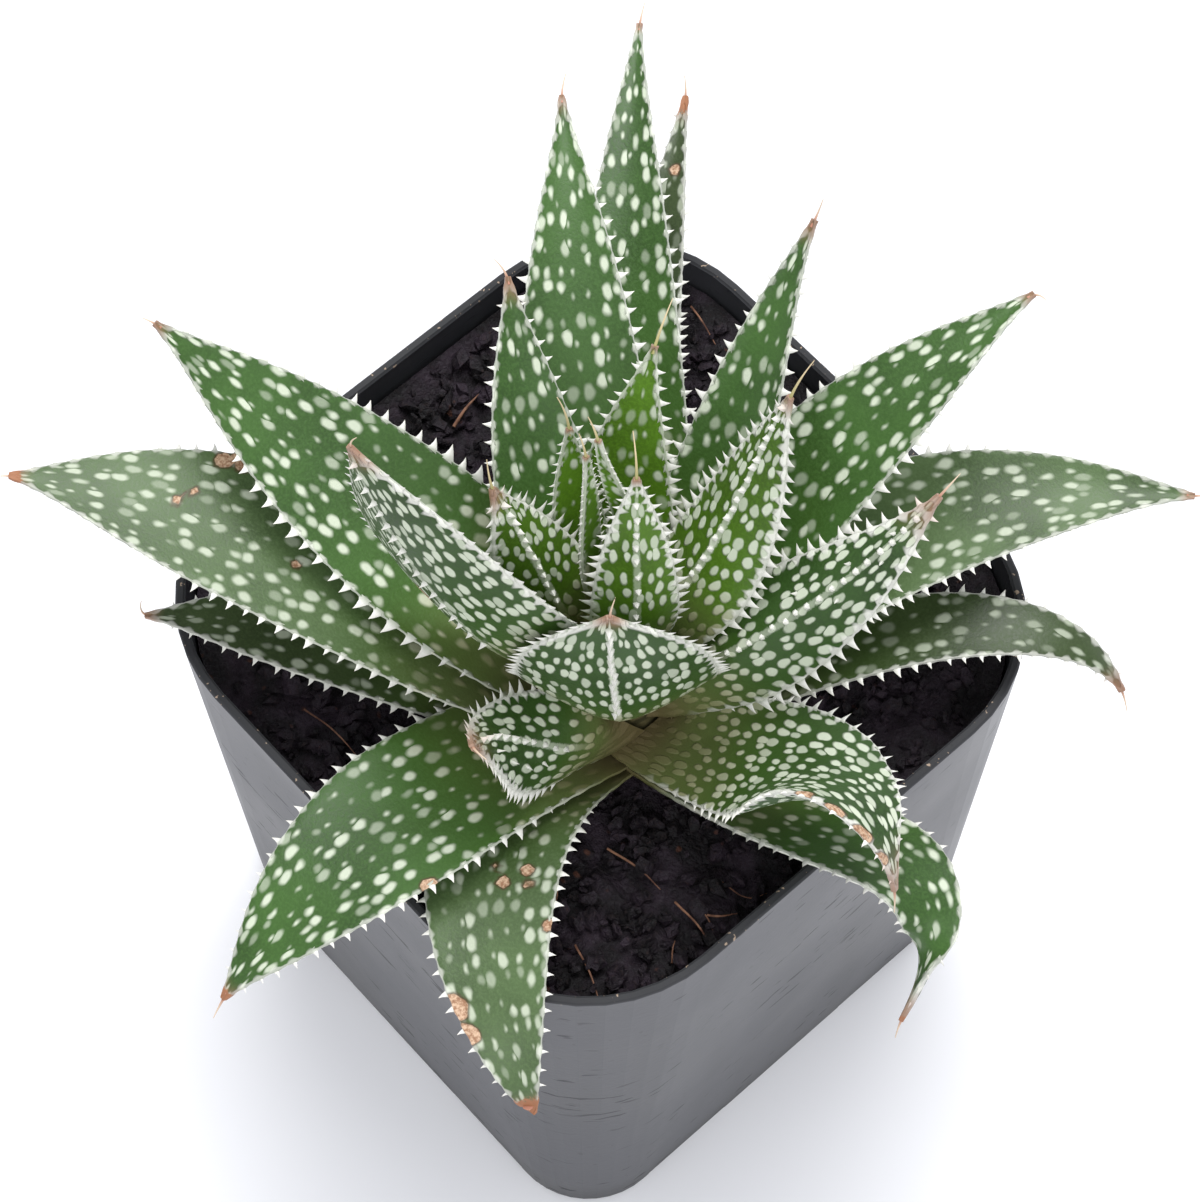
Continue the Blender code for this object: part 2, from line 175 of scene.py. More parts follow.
# The studio: the camera looks at the middle of the rim from in front of the pot's corner.
CAMERA_HEADING = 48.35
CAMERA_PITCH = 64.2
CAMERA_ROLL = -0.4
FOCAL_PIXELS = 3534.0
LONG_SIDE = 1202
SENSOR = 36.0
CLIP_START = 0.01
FLOOR_SIDE = 3.0
FLOOR_DROP = 0.0001
SKY_COLOUR = (0.93, 0.95, 1.0, 1.0)
SKY_STRENGTH = 0.85
LIT_PLACE = (0, 0, 0.1)
LIGHTS = (  # name, place, width, power
    ("key", (-0.2, 0.25, 0.9), 0.6, 7.0),
    ("fill", (0.6, -0.4, 0.7), 0.8, 3.5),
)

# Colours that are the same on every plant.
FOOT_BROWN = (0.13, 0.085, 0.045)
FOOT_OLIVE = (0.15, 0.17, 0.06)
FOOT_SPOT = (0.42, 0.38, 0.2)
TIP_PINK = (0.27, 0.14, 0.085)
TIP_DRY = (0.32, 0.14, 0.07)
SCAR_RING = (0.06, 0.03, 0.012)
CORK_DARK = (0.3, 0.16, 0.09)
CORK_PALE = (0.58, 0.4, 0.27)

# How strongly the spots stand out on each kind of skin. The olive leaves' faint spots are painted shade, as
# these leaves sit in shade.
SPOT_STRENGTH = {"green": 0.9, "young": 0.9, "old": 0.72, "olive": 0.5}


class Side(NamedTuple):
    """The finish of a leaf's upper face or of its back."""

    name: str
    green: float  # share of the leaf's green
    across: float  # from spot to spot across and along the leaf, in steps of the user's spot size
    along: float
    stray: float  # how far the spots stray from even rows
    swing: float  # how much broad bands change the spots' size
    least: float  # the radius of the smallest and of the largest spot
    most: float
    soft: float  # how far a spot's edge fades inwards
    faint: float  # how strong the faintest spot is
    band: float  # how wide the horny edge is at a tooth
    horn: float  # how strong the horny edge is
    relief: float  # how far the spots stand out


UPPER = Side("upper", green=1.0, across=0.76, along=1.1, stray=0.7, swing=1.6, least=0.18, most=0.42,
             soft=0.22, faint=0.35, band=0.8, horn=0.48, relief=0.4)
BACK = Side("back", green=0.7, across=1.5 / 2.7, along=2.6 / 2.7, stray=0.6, swing=1.2, least=0.29,
            most=0.43, soft=0.1, faint=0.7, band=1.25, horn=0.75, relief=0.75)


class Leaf(NamedTuple):
    name: str
    base: tuple  # heading round the stem, height above the crown's foot
    start: tuple  # heading and pitch where it leaves the stem
    tip: tuple  # heading, reach and height of the tip
    end: tuple  # heading and pitch at the tip
    width: float
    thick: float
    channel: float  # how far the upper face dips between its edges, negative where it bulges
    face: tuple = None  # heading and pitch that the upper face looks to, where it isn't up and inward
    face_tip: tuple = None  # the same at the tip, where the leaf twists
    taper: float = 1.75  # how long it stays wide before it narrows to the tip
    bow: float = 0.36  # how far it keeps to its first and its last direction
    tip_bow: float = 0.33
    widest: float = 0.27  # share along the leaf
    tip_width: float = 0.64
    skin: str = "green"
    tooth: float = 1.35  # how far the teeth stand out
    gap: float = 2.3  # from tooth to tooth
    keel: float = 0.0  # how strongly the ridge on the back is marked, up to 1
    dense: bool = False  # the upper face has the close spots of the back too
    foot: float = ROOT_WIDTH  # the foot's share of the full width
    awn: float = 3.0  # how long the bristle at the tip is
    curl: tuple = None  # heading and pitch that the bristle turns to
    pink: float = 5.0  # how far from the tip the pink and the dry brown reach
    dry: float = 0.0
    spines: tuple = ()  # lone spines on the back: share along the leaf, place across it
    scars: tuple = ()  # healed spots: share along, place across, radius (negative on the back)


LEAVES = [
    Leaf("far_left", (170, 6), (157, 25), (165, 77, 27), (176, 4), 23, 4.6, 1.2, taper=2.5, skin="old",
         awn=1.4, pink=3.5, dry=1.6, curl=(176, -20),
         scars=((0.63, 0.97, 2.0), (0.72, 0.1, 0.8), (0.7, 0.3, 0.7), (0.5, -0.2, 0.8), (0.67, 0.86, 1.1))),
    Leaf("left_low", (178, -1), (160, 14), (171, 60, 9), (176, -10), 15, 3.0, 0.6, taper=2.3, skin="olive",
         pink=3.0, curl=(60, 15), scars=((0.56, 0.2, 1.4),)),
    Leaf("upper_left", (143.5, 10.4), (156, 26), (148, 66, 38), (151, 30), 22, 4.6, 1.8, taper=1.9, awn=1.6,
         pink=3.0, curl=(170, 10), tooth=1.8),
    Leaf("inner_left", (185, 21.5), (186, 40), (167, 31, 58), (156, 62), 26, 4.2, 2.4, face=(60, 10),
         face_tip=(40, -20), taper=2.3, keel=0.5, tooth=1.5, gap=1.9, awn=2.6, curl=(-10, 30),
         scars=((0.45, 0.4, -1.4),)),
    Leaf("small_left", (160, 23), (157, 50), (162, 15, 52), (140, 75), 12, 3.0, 0.8, face=(110, 20),
         face_tip=(160, -50), taper=1.9, keel=0.6, skin="young", tooth=1.8, gap=1.8, awn=4.5,
         curl=(90, 60)),
    Leaf("back_left", (95.5, 12.5), (103, 38), (95.5, 66.5, 40), (94, 10), 17, 4.4, 1.6, taper=1.6,
         pink=4.0, curl=(60, 30), tooth=1.5),
    Leaf("back_tall", (66, 5), (92, 28), (87.5, 84, 30), (84, 4), 15, 4.4, 1.6, taper=1.6, pink=2.0,
         curl=(60, 50)),
    Leaf("back_dark", (54, 1.6), (100, 18), (83, 80, 20), (80, 8), 11, 3.6, 1.0, taper=1.8, skin="olive",
         dry=2.5, curl=(120, 60), scars=((0.86, 0.2, 0.8),)),
    Leaf("back_short", (120, 16), (130, 52), (108, 42, 40), (98, 20), 14, 3.6, 1.4, taper=1.5, pink=5.0,
         curl=(170, 30)),
    Leaf("back_right", (30, 13), (56, 50), (60, 48, 50), (58, 35), 13.5, 4.0, 2.0, taper=1.5, pink=4.5,
         curl=(60, 70), tooth=1.6),
    Leaf("right_high", (26, 8), (50, 40), (36, 63, 40), (31, 12), 18, 4.6, 2.0, taper=1.9, pink=2.6,
         awn=2.4, curl=(-80, 0), tooth=1.7),
    Leaf("far_right", (11, 3.8), (48, 31), (14.5, 74, 22), (-8, 0), 21, 4.6, 1.6, taper=1.8, skin="old",
         awn=2.4, pink=2.4, curl=(20, 10)),
    Leaf("right_low", (-5, -1), (26, 22), (-0.5, 63.4, 6), (-50, -45), 11, 3.6, 0.6, taper=1.9,
         skin="olive", pink=5.0, curl=(-85, -50)),
    Leaf("inner_right", (-12.5, 13), (-8, 47), (5, 37, 52), (35, 44), 14.5, 4.2, 1.0, face=(60, -40),
         face_tip=(65, -70), taper=1.8, keel=0.45, pink=7.0, awn=3.6, curl=(40, 30),
         spines=((0.86, 0.25), (0.79, -0.3), (0.72, 0.3), (0.64, -0.25), (0.55, 0.35)), tooth=1.9),
    Leaf("front_upright", (-85, 18), (-94, 72), (-96, 9, 46), (-95, 85), 24, 4.2, 2.4, face=(90, 20),
         taper=2.6, tooth=1.7, gap=1.25, keel=1.0, awn=3.4, curl=(60, 40), pink=2.6),
    Leaf("front_curled", (-104, 9.6), (-142, 22), (-133, 25, 30.5), (-88, 57), 13.4, 3.0, 1.0,
         face=(90, -30), face_tip=(-150, -14), bow=0.37, tooth=1.7, gap=1.35, keel=0.5, pink=9.0, awn=3.2,
         curl=(-30, -20), spines=((0.75, 0.45), (0.62, 0.55), (0.5, 0.5), (0.4, 0.35))),
    Leaf("front_right", (-60, 6), (-30, 20), (-47, 47, 25), (-80, -60), 18, 4.0, 0.4, face=(-90, 75),
         face_tip=(-10, 40), taper=1.1, tip_bow=0.5, widest=0.5, tooth=1.4, gap=1.9, pink=9.0, awn=4.0,
         curl=(-90, -80), scars=((0.72, 0.98, 0.9), (0.78, 0.98, 1.0), (0.84, 0.98, 1.0), (0.9, 0.98, 0.9)),
         foot=0.6, bow=0.45, dense=True),
    Leaf("right_drooping", (-46, -0.8), (-38, 12), (-50.5, 54, 0.2), (-126, -57), 15.5, 3.8, 0.8,
         face=(90, 56), taper=1.4, bow=0.6, tip_bow=0.7, widest=0.4, pink=6.5, dry=1.0, curl=(-100, -60)),
    Leaf("heart_back", (87, 20), (93, 66), (78, 22, 55), (66, 50), 13.5, 3.4, 1.4, taper=1.4, skin="young",
         tooth=1.7, gap=1.8, awn=6.0, curl=(60, 30), pink=1.5),
    Leaf("heart_left", (121, 25), (116, 48), (112, 14.5, 50), (92, 70), 7, 2.4, 0.8, skin="young",
         tooth=1.4, gap=1.5, curl=(150, 50), pink=1.0, awn=5.0),
    Leaf("spear_left", (150, 30), (118, 78), (118, 7.4, 56), (110, 75), 3.4, 1.6, 0.2, skin="young",
         tooth=0.8, gap=1.3, pink=0.8, curl=(150, 70), awn=4.0),
    Leaf("spear_right", (40, 30), (64, 77), (108, 6.8, 60), (120, 76), 3.4, 1.6, 0.2, skin="young",
         tooth=0.8, gap=1.3, pink=0.8, curl=(150, 60), awn=4.0),
    Leaf("heart_front", (-60, 26), (-60, 84), (60, 4.5, 55.5), (80, 80), 10.5, 3.0, 0.4, face=(95, 0),
         keel=0.4, skin="young", tooth=1.5, gap=1.5, awn=6.5, pink=1.4, curl=(100, 20)),
    Leaf("heart_right", (10, 23), (12, 50), (31, 23, 60), (44, 72), 13, 3.4, 0.8, face=(50, -30),
         face_tip=(20, -55), taper=1.9, keel=0.7, skin="young", tooth=1.9, gap=1.7, awn=6.0, pink=4.0,
         curl=(30, 45)),
    Leaf("front_left", (-138, 2.2), (-158, 25), (-141, 62, 2), (-136, -45), 21.4, 3.6, 1.0, face=(120, 80),
         taper=1.6, widest=0.4, pink=4.0, dry=1.4, curl=(-120, -40), scars=((0.52, -0.98, 1.1),)),
    Leaf("front_low", (-113, -1), (-163, 24), (-102, 52.6, -3.5), (-50, -74), 18.5, 2.8, 0.8,
         face=(140, 74), taper=1.6, bow=0.5, tip_bow=0.4, tip_width=2.0, awn=0.6, skin="old", dry=2.4,
         pink=4.0, scars=((0.42, -0.05, 0.7), (0.46, -0.15, 1.0), (0.43, -0.5, 1.0), (0.47, -0.55, 0.7),
                          (0.72, 0.95, 1.6), (0.78, 0.97, 1.4), (0.58, -0.97, 0.9))),
]

# Root fibres and twigs on the bark, as points in the plant's frame: right, away, height over the bark.
FIBRES = [
    (0.34, ((-1.3, -17.5, 0.9), (2.8, -20.7, 1.7), (5.3, -23.1, 1.0))),
    (0.32, ((7.1, -24.7, 0.8), (10.2, -28.7, 1.9), (11.1, -30.1, 1.0))),
    (0.24, ((9.0, -24.5, 0.7), (11.0, -27.0, 1.6), (12.1, -29.6, 0.8))),
    (0.36, ((10.0, -26.3, 1.0), (12.4, -27.0, 1.8), (14.8, -26.5, 1.4))),
    (0.22, ((6.6, -32.7, 0.6), (6.7, -31.3, 1.8), (7.0, -30.0, 1.2))),
    (0.3, ((-5.4, -30.3, 0.8), (-3.6, -34.2, 1.5), (-2.4, -37.8, 0.9))),
    (0.2, ((13.0, -22.0, 0.7), (16.4, -24.5, 1.5), (18.6, -23.6, 0.8))),
    (0.2, ((-9.0, -20.0, 0.7), (-7.6, -24.0, 1.5), (-9.4, -27.2, 0.7))),
    (0.5, ((-21.2, 41.6, 1.2), (-19.6, 43.8, 2.0), (-17.9, 46.1, 1.5))),
    (0.3, ((10.5, 58.9, 0.8), (11.8, 56.3, 1.9), (13.8, 52.9, 1.0))),
    (0.26, ((-40.0, 2.0, 0.8), (-36.0, -1.5, 1.8), (-32.0, -6.0, 0.8))),
    (0.26, ((34.0, 20.0, 0.8), (37.0, 14.0, 1.8), (36.0, 8.0, 0.8))),
]


class AloeSizes(bpy.types.PropertyGroup):
    tooth_scale: bpy.props.FloatProperty(
        name="Teeth", description="How large the teeth on the leaves' edges are, against the plant's own",
        default=1.0, min=0.2, max=2.0)
    spot_size: bpy.props.FloatProperty(
        name="Spots", description="How far apart the pale spots on a leaf are",
        default=2.7 * MM, unit="LENGTH")
    crumb_size: bpy.props.FloatProperty(
        name="Bark crumbs", description="How long a middling crumb of bark is",
        default=2.5 * MM, unit="LENGTH")
    crumb_count: bpy.props.IntProperty(
        name="Number of crumbs", description="How many crumbs of bark lie in the pot", default=2300, min=1)
    camera_distance: bpy.props.FloatProperty(
        name="Camera distance", description="From the middle of the pot's rim to the camera",
        default=0.45, unit="LENGTH")


class AloeColours(bpy.types.PropertyGroup):
    green: bpy.props.FloatVectorProperty(
        name="Leaf", description="The green of grown leaves", subtype="COLOR",
        default=(0.034, 0.082, 0.016))
    young: bpy.props.FloatVectorProperty(
        name="Young leaf", description="The green of the leaves in the heart", subtype="COLOR",
        default=(0.07, 0.16, 0.009))
    old: bpy.props.FloatVectorProperty(
        name="Old leaf", description="The green of the widest outer leaves", subtype="COLOR",
        default=(0.058, 0.096, 0.036))
    # The olive green is partly the low leaves' own brown green and partly painted shade: it is darker for
    # the leaves that sit in shade.
    olive: bpy.props.FloatVectorProperty(
        name="Shaded leaf", description="The brown green of low and shaded leaves", subtype="COLOR",
        default=(0.030, 0.048, 0.016))
    spot: bpy.props.FloatVectorProperty(
        name="Spot", description="The pale spots on the leaves", subtype="COLOR",
        default=(0.57, 0.62, 0.49))
    horn: bpy.props.FloatVectorProperty(
        name="Horn", description="The teeth and the horny edge", subtype="COLOR",
        default=(0.72, 0.71, 0.66))
    pot: bpy.props.FloatVectorProperty(
        name="Pot", description="The charcoal plastic", subtype="COLOR",
        default=(0.045, 0.046, 0.052))
    bark: bpy.props.FloatVectorProperty(
        name="Bark", description="The damp dark bark", subtype="COLOR",
        default=(0.011, 0.007, 0.011))


def sizes():
    return bpy.context.scene.aloe_sizes


def colours():
    return bpy.context.scene.aloe_colours


def ray(heading, pitch):
    """The direction with this heading and pitch."""
    across = math.radians(heading)
    up = math.radians(pitch)
    return np.array([math.cos(across) * math.cos(up), math.sin(across) * math.cos(up), math.sin(up)])


def unit(vector):
    return vector / np.linalg.norm(vector)


def mix(first, last, share):
    return first + (last - first) * share


def ease(share):
    """0 to 1, quick at first and level at the end."""
    return math.sin(min(max(share, 0.0), 1.0) * math.pi / 2)


def times(colour, factor):
    """A darker or lighter colour."""
    return [channel * factor for channel in colour]


def to_frame(points):
    """Points in the plant's frame and millimetres, in the frame of the solids and metres."""
    turn = math.radians(PLANT_TURN)
    turned = np.array([[math.cos(turn), -math.sin(turn), 0], [math.sin(turn), math.cos(turn), 0],
                       [0, 0, 1]])
    return (np.asarray(points, float) @ turned.T + (PLANT_X, PLANT_Y, CROWN_FOOT)) * MM


def select_only(obj):
    bpy.ops.object.select_all(action="DESELECT")
    obj.select_set(True)
    bpy.context.view_layer.objects.active = obj


def start_clear():
    """Object mode with nothing selected."""
    if bpy.context.mode != "OBJECT":
        bpy.ops.object.mode_set(mode="OBJECT")
    bpy.ops.object.select_all(action="DESELECT")


def edit_selected(obj, mode, chosen):
    """Edit mode on obj, with the edges or faces selected that chosen says."""
    select_only(obj)
    bpy.ops.object.mode_set(mode="EDIT")
    bpy.ops.mesh.select_mode(type=mode)
    bpy.ops.mesh.select_all(action="DESELECT")
    shape = bmesh.from_edit_mesh(obj.data)
    for part in shape.edges if mode == "EDGE" else shape.faces:
        part.select_set(chosen(part))
    shape.select_flush_mode()
    bmesh.update_edit_mesh(obj.data)


def face_outwards(obj, merge=0.0):
    """Turns every face outwards, after points that are nearer than merge are made one."""
    edit_selected(obj, "FACE", lambda face: True)
    if merge:
        bpy.ops.mesh.remove_doubles(threshold=merge)
    bpy.ops.mesh.normals_make_consistent(inside=False)
    bpy.ops.object.mode_set(mode="OBJECT")


def cut_middle(obj, cuts):
    """Cuts the edges that cross z = 0 this often."""
    edit_selected(obj, "EDGE", lambda edge: edge.verts[0].co.z * edge.verts[1].co.z < 0)
    bpy.ops.mesh.subdivide(number_cuts=cuts)
    bpy.ops.object.mode_set(mode="OBJECT")


def points_of(obj):
    found = np.empty(len(obj.data.vertices) * 3, np.float32)
    obj.data.vertices.foreach_get("co", found)
    return found.reshape(-1, 3).astype(float)


def put_points(obj, points):
    obj.data.vertices.foreach_set("co", np.asarray(points, np.float32).ravel())
    obj.data.update()


def take_shape(obj):
    """The points and faces of a pattern that is modelled once. Its object is deleted."""
    shape = points_of(obj), [tuple(face.vertices) for face in obj.data.polygons]
    bpy.data.objects.remove(obj, do_unlink=True)
    return shape


def add_object(name, data):
    obj = bpy.data.objects.new(name, data)
    bpy.context.scene.collection.objects.link(obj)
    return obj


def add_copies(name, points, polygons):
    """One object from all the copies of a pattern, given as points in metres and faces."""
    mesh = bpy.data.meshes.new(name)
    mesh.from_pydata([tuple(point) for point in points], [], polygons)
    obj = add_object(name, mesh)
    face_outwards(obj)
    return obj


def tube(name, sides, rings):
    """A closed round tube from z = 0 to 1, cut into rings, with a fan at each end."""
    bpy.ops.mesh.primitive_cylinder_add(vertices=sides, radius=1, depth=1, end_fill_type="TRIFAN")
    obj = bpy.context.active_object
    obj.name = obj.data.name = name
    cut_middle(obj, rings - 1)
    put_points(obj, points_of(obj) + (0, 0, 0.5))
    return obj


def places_on(obj, sides, rings):
    """Each vertex's step round the tube (-1 in the middle of an end) and its ring."""
    x, y, z = points_of(obj).T
    step = np.round(np.arctan2(y, x) / math.tau * sides).astype(int) % sides
    step[np.hypot(x, y) < 0.5] = -1
    return step, np.round(z * rings).astype(int)


def add_values(obj, **given):
    """Attributes with a value for each point."""
    for name, values in given.items():
        layer = obj.data.attributes.new(name, "FLOAT", "POINT")
        layer.data.foreach_set("value", np.asarray(values, np.float32))


def use_material(obj, number):
    obj.data.polygons.foreach_set("material_index", np.full(len(obj.data.polygons), number, np.int32))


def material_numbers(obj):
    found = np.empty(len(obj.data.polygons), np.int32)
    obj.data.polygons.foreach_get("material_index", found)
    return found


def join(pieces):
    """One object from several, named as the first."""
    bpy.ops.object.select_all(action="DESELECT")
    for piece in pieces:
        piece.select_set(True)
    bpy.context.view_layer.objects.active = pieces[0]
    bpy.ops.object.join()
    return pieces[0]


def dress(obj, *materials):
    obj.data.materials.clear()
    for material in materials:
        obj.data.materials.append(material)


def ready(obj, slot, *materials):
    """The finished piece: materials, smooth shading and its body."""
    dress(obj, *materials)
    select_only(obj)
    bpy.ops.object.shade_smooth_by_angle(angle=math.radians(SMOOTH_ANGLE))
    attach(obj, BODY)
    obj.select_set(False)


class Value:
    """A socket in a shader. Sums written with it add Math nodes."""

    def __init__(self, shader, socket):
        self.shader = shader
        self.socket = socket

    def output(self, name):
        """Another output of the same node."""
        return Value(self.shader, self.socket.node.outputs[name])

    def maths(self, operation, *given):
        """A Math node that works on what is given, and on nothing else."""
        return self.shader.node("Math", {"operation": operation}, dict(enumerate(given)))

    def larger(self, other):
        return self.maths("MAXIMUM", self, other)

    def __abs__(self):
        return self.maths("ABSOLUTE", self)

    def __add__(self, other):
        return self.maths("ADD", self, other)

    def __radd__(self, other):
        return self.maths("ADD", other, self)

    def __sub__(self, other):
        return self.maths("SUBTRACT", self, other)

    def __rsub__(self, other):
        return self.maths("SUBTRACT", other, self)

    def __mul__(self, other):
        return self.maths("MULTIPLY", self, other)

    def __rmul__(self, other):
        return self.maths("MULTIPLY", other, self)

    def __truediv__(self, other):
        return self.maths("DIVIDE", self, other)

    def __rtruediv__(self, other):
        return self.maths("DIVIDE", other, self)


class Shader:
    """The nodes of one material."""

    def __init__(self, name, **finish):
        self.material = bpy.data.materials.new(name)
        self.material.use_nodes = True
        self.tree = self.material.node_tree
        self.skin = self.tree.nodes["Principled BSDF"]
        for socket, given in finish.items():
            self.skin.inputs[socket.replace("_", " ")].default_value = given

    def feed(self, socket, given):
        """Links a socket to a Value, or sets it to a number, a vector or a colour."""
        if isinstance(given, Value):
            self.tree.links.new(given.socket, socket)
        elif socket.type == "RGBA":
            socket.default_value = (*given, 1.0)
        else:
            socket.default_value = given

    def node(self, kind, settings=None, sockets=None, out=0):
        """A node of this type, with its settings first and then its sockets, and one of its outputs."""
        made = self.tree.nodes.new("ShaderNode" + kind)
        for setting, given in (settings or {}).items():
            setattr(made, setting, given)
        for socket, given in (sockets or {}).items():
            self.feed(made.inputs[socket], given)
        return Value(self, made.outputs[out])

    def attribute(self, name):
        return self.node("Attribute", {"attribute_name": name}, out="Fac")

    def place(self):
        return self.node("TexCoord", out="Object")

    def stretched(self, vector, scale):
        return self.node("Mapping", None, {"Vector": vector, "Scale": scale})

    def noise(self, vector, scale, detail=3.0, rough=0.5, out=0):
        return self.node("TexNoise", None, {"Vector": vector, "Scale": scale, "Detail": detail,
                                            "Roughness": rough}, out)

    def smooth(self, value, low, high, first=0.0, last=1.0):
        """first below low, last above high, and a smooth step between."""
        return self.node("MapRange", {"interpolation_type": "SMOOTHSTEP"}, {
            "Value": value, "From Min": low, "From Max": high, "To Min": first, "To Max": last})

    def blend(self, share, first, last):
        """A colour between two colours. The numbers are the Mix node's sockets for colours."""
        return self.node("Mix", {"data_type": "RGBA"}, {0: share, 6: first, 7: last}, out=2)

    def spots(self, vector, stray):
        """How far off the middle of the nearest spot is, and two random numbers that this spot has."""
        distance = self.node("TexVoronoi", {"voronoi_dimensions": "2D"},
                             {"Vector": vector, "Scale": 1.0, "Randomness": stray}, out="Distance")
        own = self.node("SeparateColor", None, {0: distance.output("Color")}, out="Red")
        return distance, own, own.output("Green")

    def finish(self, colour, rough, height=None, depth=0.0, strength=1.0):
        self.feed(self.skin.inputs["Base Color"], colour)
        self.feed(self.skin.inputs["Roughness"], rough)
        if height is not None:
            bump = self.node("Bump", None, {"Height": height, "Distance": depth, "Strength": strength},
                             out="Normal")
            self.feed(self.skin.inputs["Normal"], bump)
        return self.material


def leaf_skin(skin, side):
    """A leaf's skin: deep green with pale spots, a horny white edge, a brown foot and a pink or dry tip."""
    shader = Shader(f"leaf_{skin}_{side.name}", IOR=1.4, Specular_IOR_Level=0.4, Coat_Weight=0.05,
                    Coat_Roughness=0.3)
    tone = colours()
    green = times(getattr(tone, skin), side.green)
    across = shader.node("UVMap", {"uv_map": "leaf"}, out="UV")
    spot_step = sizes().spot_size / MM
    root = shader.attribute("share")
    rim = shader.attribute("rim")
    tooth = shader.attribute("tooth")
    place = shader.place()

    # The green: broad clouds, lighter towards the root, with a fine pale grain.
    broad = shader.noise(place, 90.0, 2.0)
    grain = shader.noise(place, 2600.0, 2.0, 0.6)
    shade = shader.blend(shader.smooth(broad, 0.3, 0.7), times(green, 0.75), times(green, 1.25))
    light = [mix(grown, heart, 0.4) for grown, heart in zip(green, tone.young)]
    shade = shader.blend(shader.smooth(root + (broad - 0.5) * 0.3, 0.12, 0.6, 0.7, 0.0), shade, light)
    shade = shader.blend(shader.smooth(grain, 0.35, 0.75) * 0.35, shade, times(green, 1.9))

    # Spots: round on the upper face and long on the back, each with its own size, some missing.
    wobble = shader.node("VectorMath", {"operation": "SCALE"},
                         {0: shader.noise(across, 0.55, 1.0, out="Color"), "Scale": 0.7})
    moved = shader.node("VectorMath", {"operation": "ADD"}, {0: across, 1: wobble})
    bands = shader.noise(shader.stretched(across, (0.09, 0.36, 1.0)), 1.0, 1.0)
    cells = shader.stretched(moved, (1 / (spot_step * side.across), 1 / (spot_step * side.along), 1.0))
    distance, size, missing = shader.spots(cells, side.stray)
    radius = shader.smooth(size + (bands - 0.5) * side.swing, 0.0, 1.0, side.least, side.most)
    mask = shader.smooth(distance - radius, -side.soft, 0.05, 1.0, 0.0)
    mask = mask * shader.smooth(missing, 0.0, 0.5, side.faint, 1.0)
    if side is BACK:
        middle = abs(shader.node("SeparateXYZ", None, {0: across}, out="X"))
        ridge = shader.smooth(middle + (grain - 0.5) * 0.5, 0.3, 0.6, 1.0, 0.0)
        mask = mask.larger(ridge * shader.attribute("keel"))
    mask = mask * shader.smooth(root, 0.02, 0.2, 0.35, 1.0)
    pale = shader.blend(shader.smooth(root, 0.05, 0.4), FOOT_SPOT, tone.spot)
    colour = shader.blend(mask * SPOT_STRENGTH[skin], shade, pale)

    # The foot is olive and brown, then the green comes up.
    foot = shader.smooth(root + (broad - 0.5) * 0.1, 0.03, 0.36, 1.0, 0.0)
    foot_colour = shader.blend(shader.smooth(root, 0.0, 0.14), FOOT_BROWN, FOOT_OLIVE)
    colour = shader.blend(foot * 0.75, colour, foot_colour)

    # The horny edge, wider under each tooth.
    band = shader.smooth(tooth, 0.2, 1.0, 0.26, side.band)
    edge = shader.smooth(rim / band, 0.35, 1.0, 1.0, 0.0) * shader.smooth(root, 0.06, 0.16)
    colour = shader.blend(edge * side.horn, colour, tone.horn)

    # Pink towards the tip, then dry brown.
    pinkness = shader.smooth(shader.attribute("pink") + (broad - 0.5) * 0.5, 0.4, 1.0)
    colour = shader.blend(pinkness * shader.smooth(rim, 0.0, 1.4, 0.9, 0.35), colour, TIP_PINK)
    dryness = shader.smooth(shader.attribute("dry") + (grain - 0.5) * 0.5, 0.45, 0.6)
    colour = shader.blend(dryness, colour, TIP_DRY)

    # Healed scars: a dark ring round tan cork.
    scar = shader.attribute("scar") + (shader.noise(place, 500.0, 1.0) - 0.5) * 0.9
    cork = shader.blend(shader.smooth(grain, 0.35, 0.65), CORK_DARK, CORK_PALE)
    colour = shader.blend(shader.smooth(scar, -0.35, 0.0) * 0.75, colour, SCAR_RING)
    colour = shader.blend(shader.smooth(scar, -0.02, 0.12), colour, cork)

    rough = shader.smooth(grain, 0.3, 0.8, 0.34, 0.5) + mask * 0.12 + dryness * 0.2
    height = mask * side.relief + edge * 0.5 + grain * 0.2 - shader.smooth(scar, 0.0, 0.3) * 0.6
    return shader.finish(colour, rough, height, 0.00022, 0.8)


def leaf_horn():
    """Teeth, keel beads and spines: white, a little green at the foot and pink towards the leaf's tip."""
    shader = Shader("leaf_horn", IOR=1.5)
    tone = colours()
    up = shader.attribute("up_tooth")
    cloud = shader.noise(shader.place(), 700.0, 2.0)
    colour = shader.blend(shader.smooth(up + (cloud - 0.5) * 0.4, 0.0, 0.45), times(tone.spot, 0.62),
                          tone.horn)
    colour = shader.blend(shader.smooth(up, 0.6, 1.0) * 0.3, colour, (0.85, 0.78, 0.68))
    pinkness = shader.smooth(shader.attribute("pink"), 0.4, 1.0)
    colour = shader.blend(pinkness * 0.55, colour, (0.5, 0.27, 0.19))
    colour = shader.blend(shader.smooth(shader.attribute("dry"), 0.4, 0.6), colour, (0.42, 0.2, 0.09))
    return shader.finish(colour, shader.smooth(cloud, 0.3, 0.7, 0.36, 0.5), cloud, 0.00008)


def leaf_awn():
    """The bristle at the tip: green or pink at its foot, pale brown at its end."""
    shader = Shader("leaf_awn", IOR=1.45)
    up = shader.attribute("up_tooth")
    cloud = shader.noise(shader.place(), 800.0, 2.0)
    young = shader.blend(shader.smooth(up, 0.0, 0.8), (0.34, 0.38, 0.12), (0.62, 0.5, 0.28))
    grown = shader.blend(shader.smooth(up, 0.1, 0.7), (0.4, 0.18, 0.12), (0.62, 0.48, 0.35))
    colour = shader.blend(shader.attribute("pink"), young, grown)
    return shader.finish(colour, shader.smooth(cloud, 0.3, 0.7, 0.4, 0.6), cloud, 0.00005)


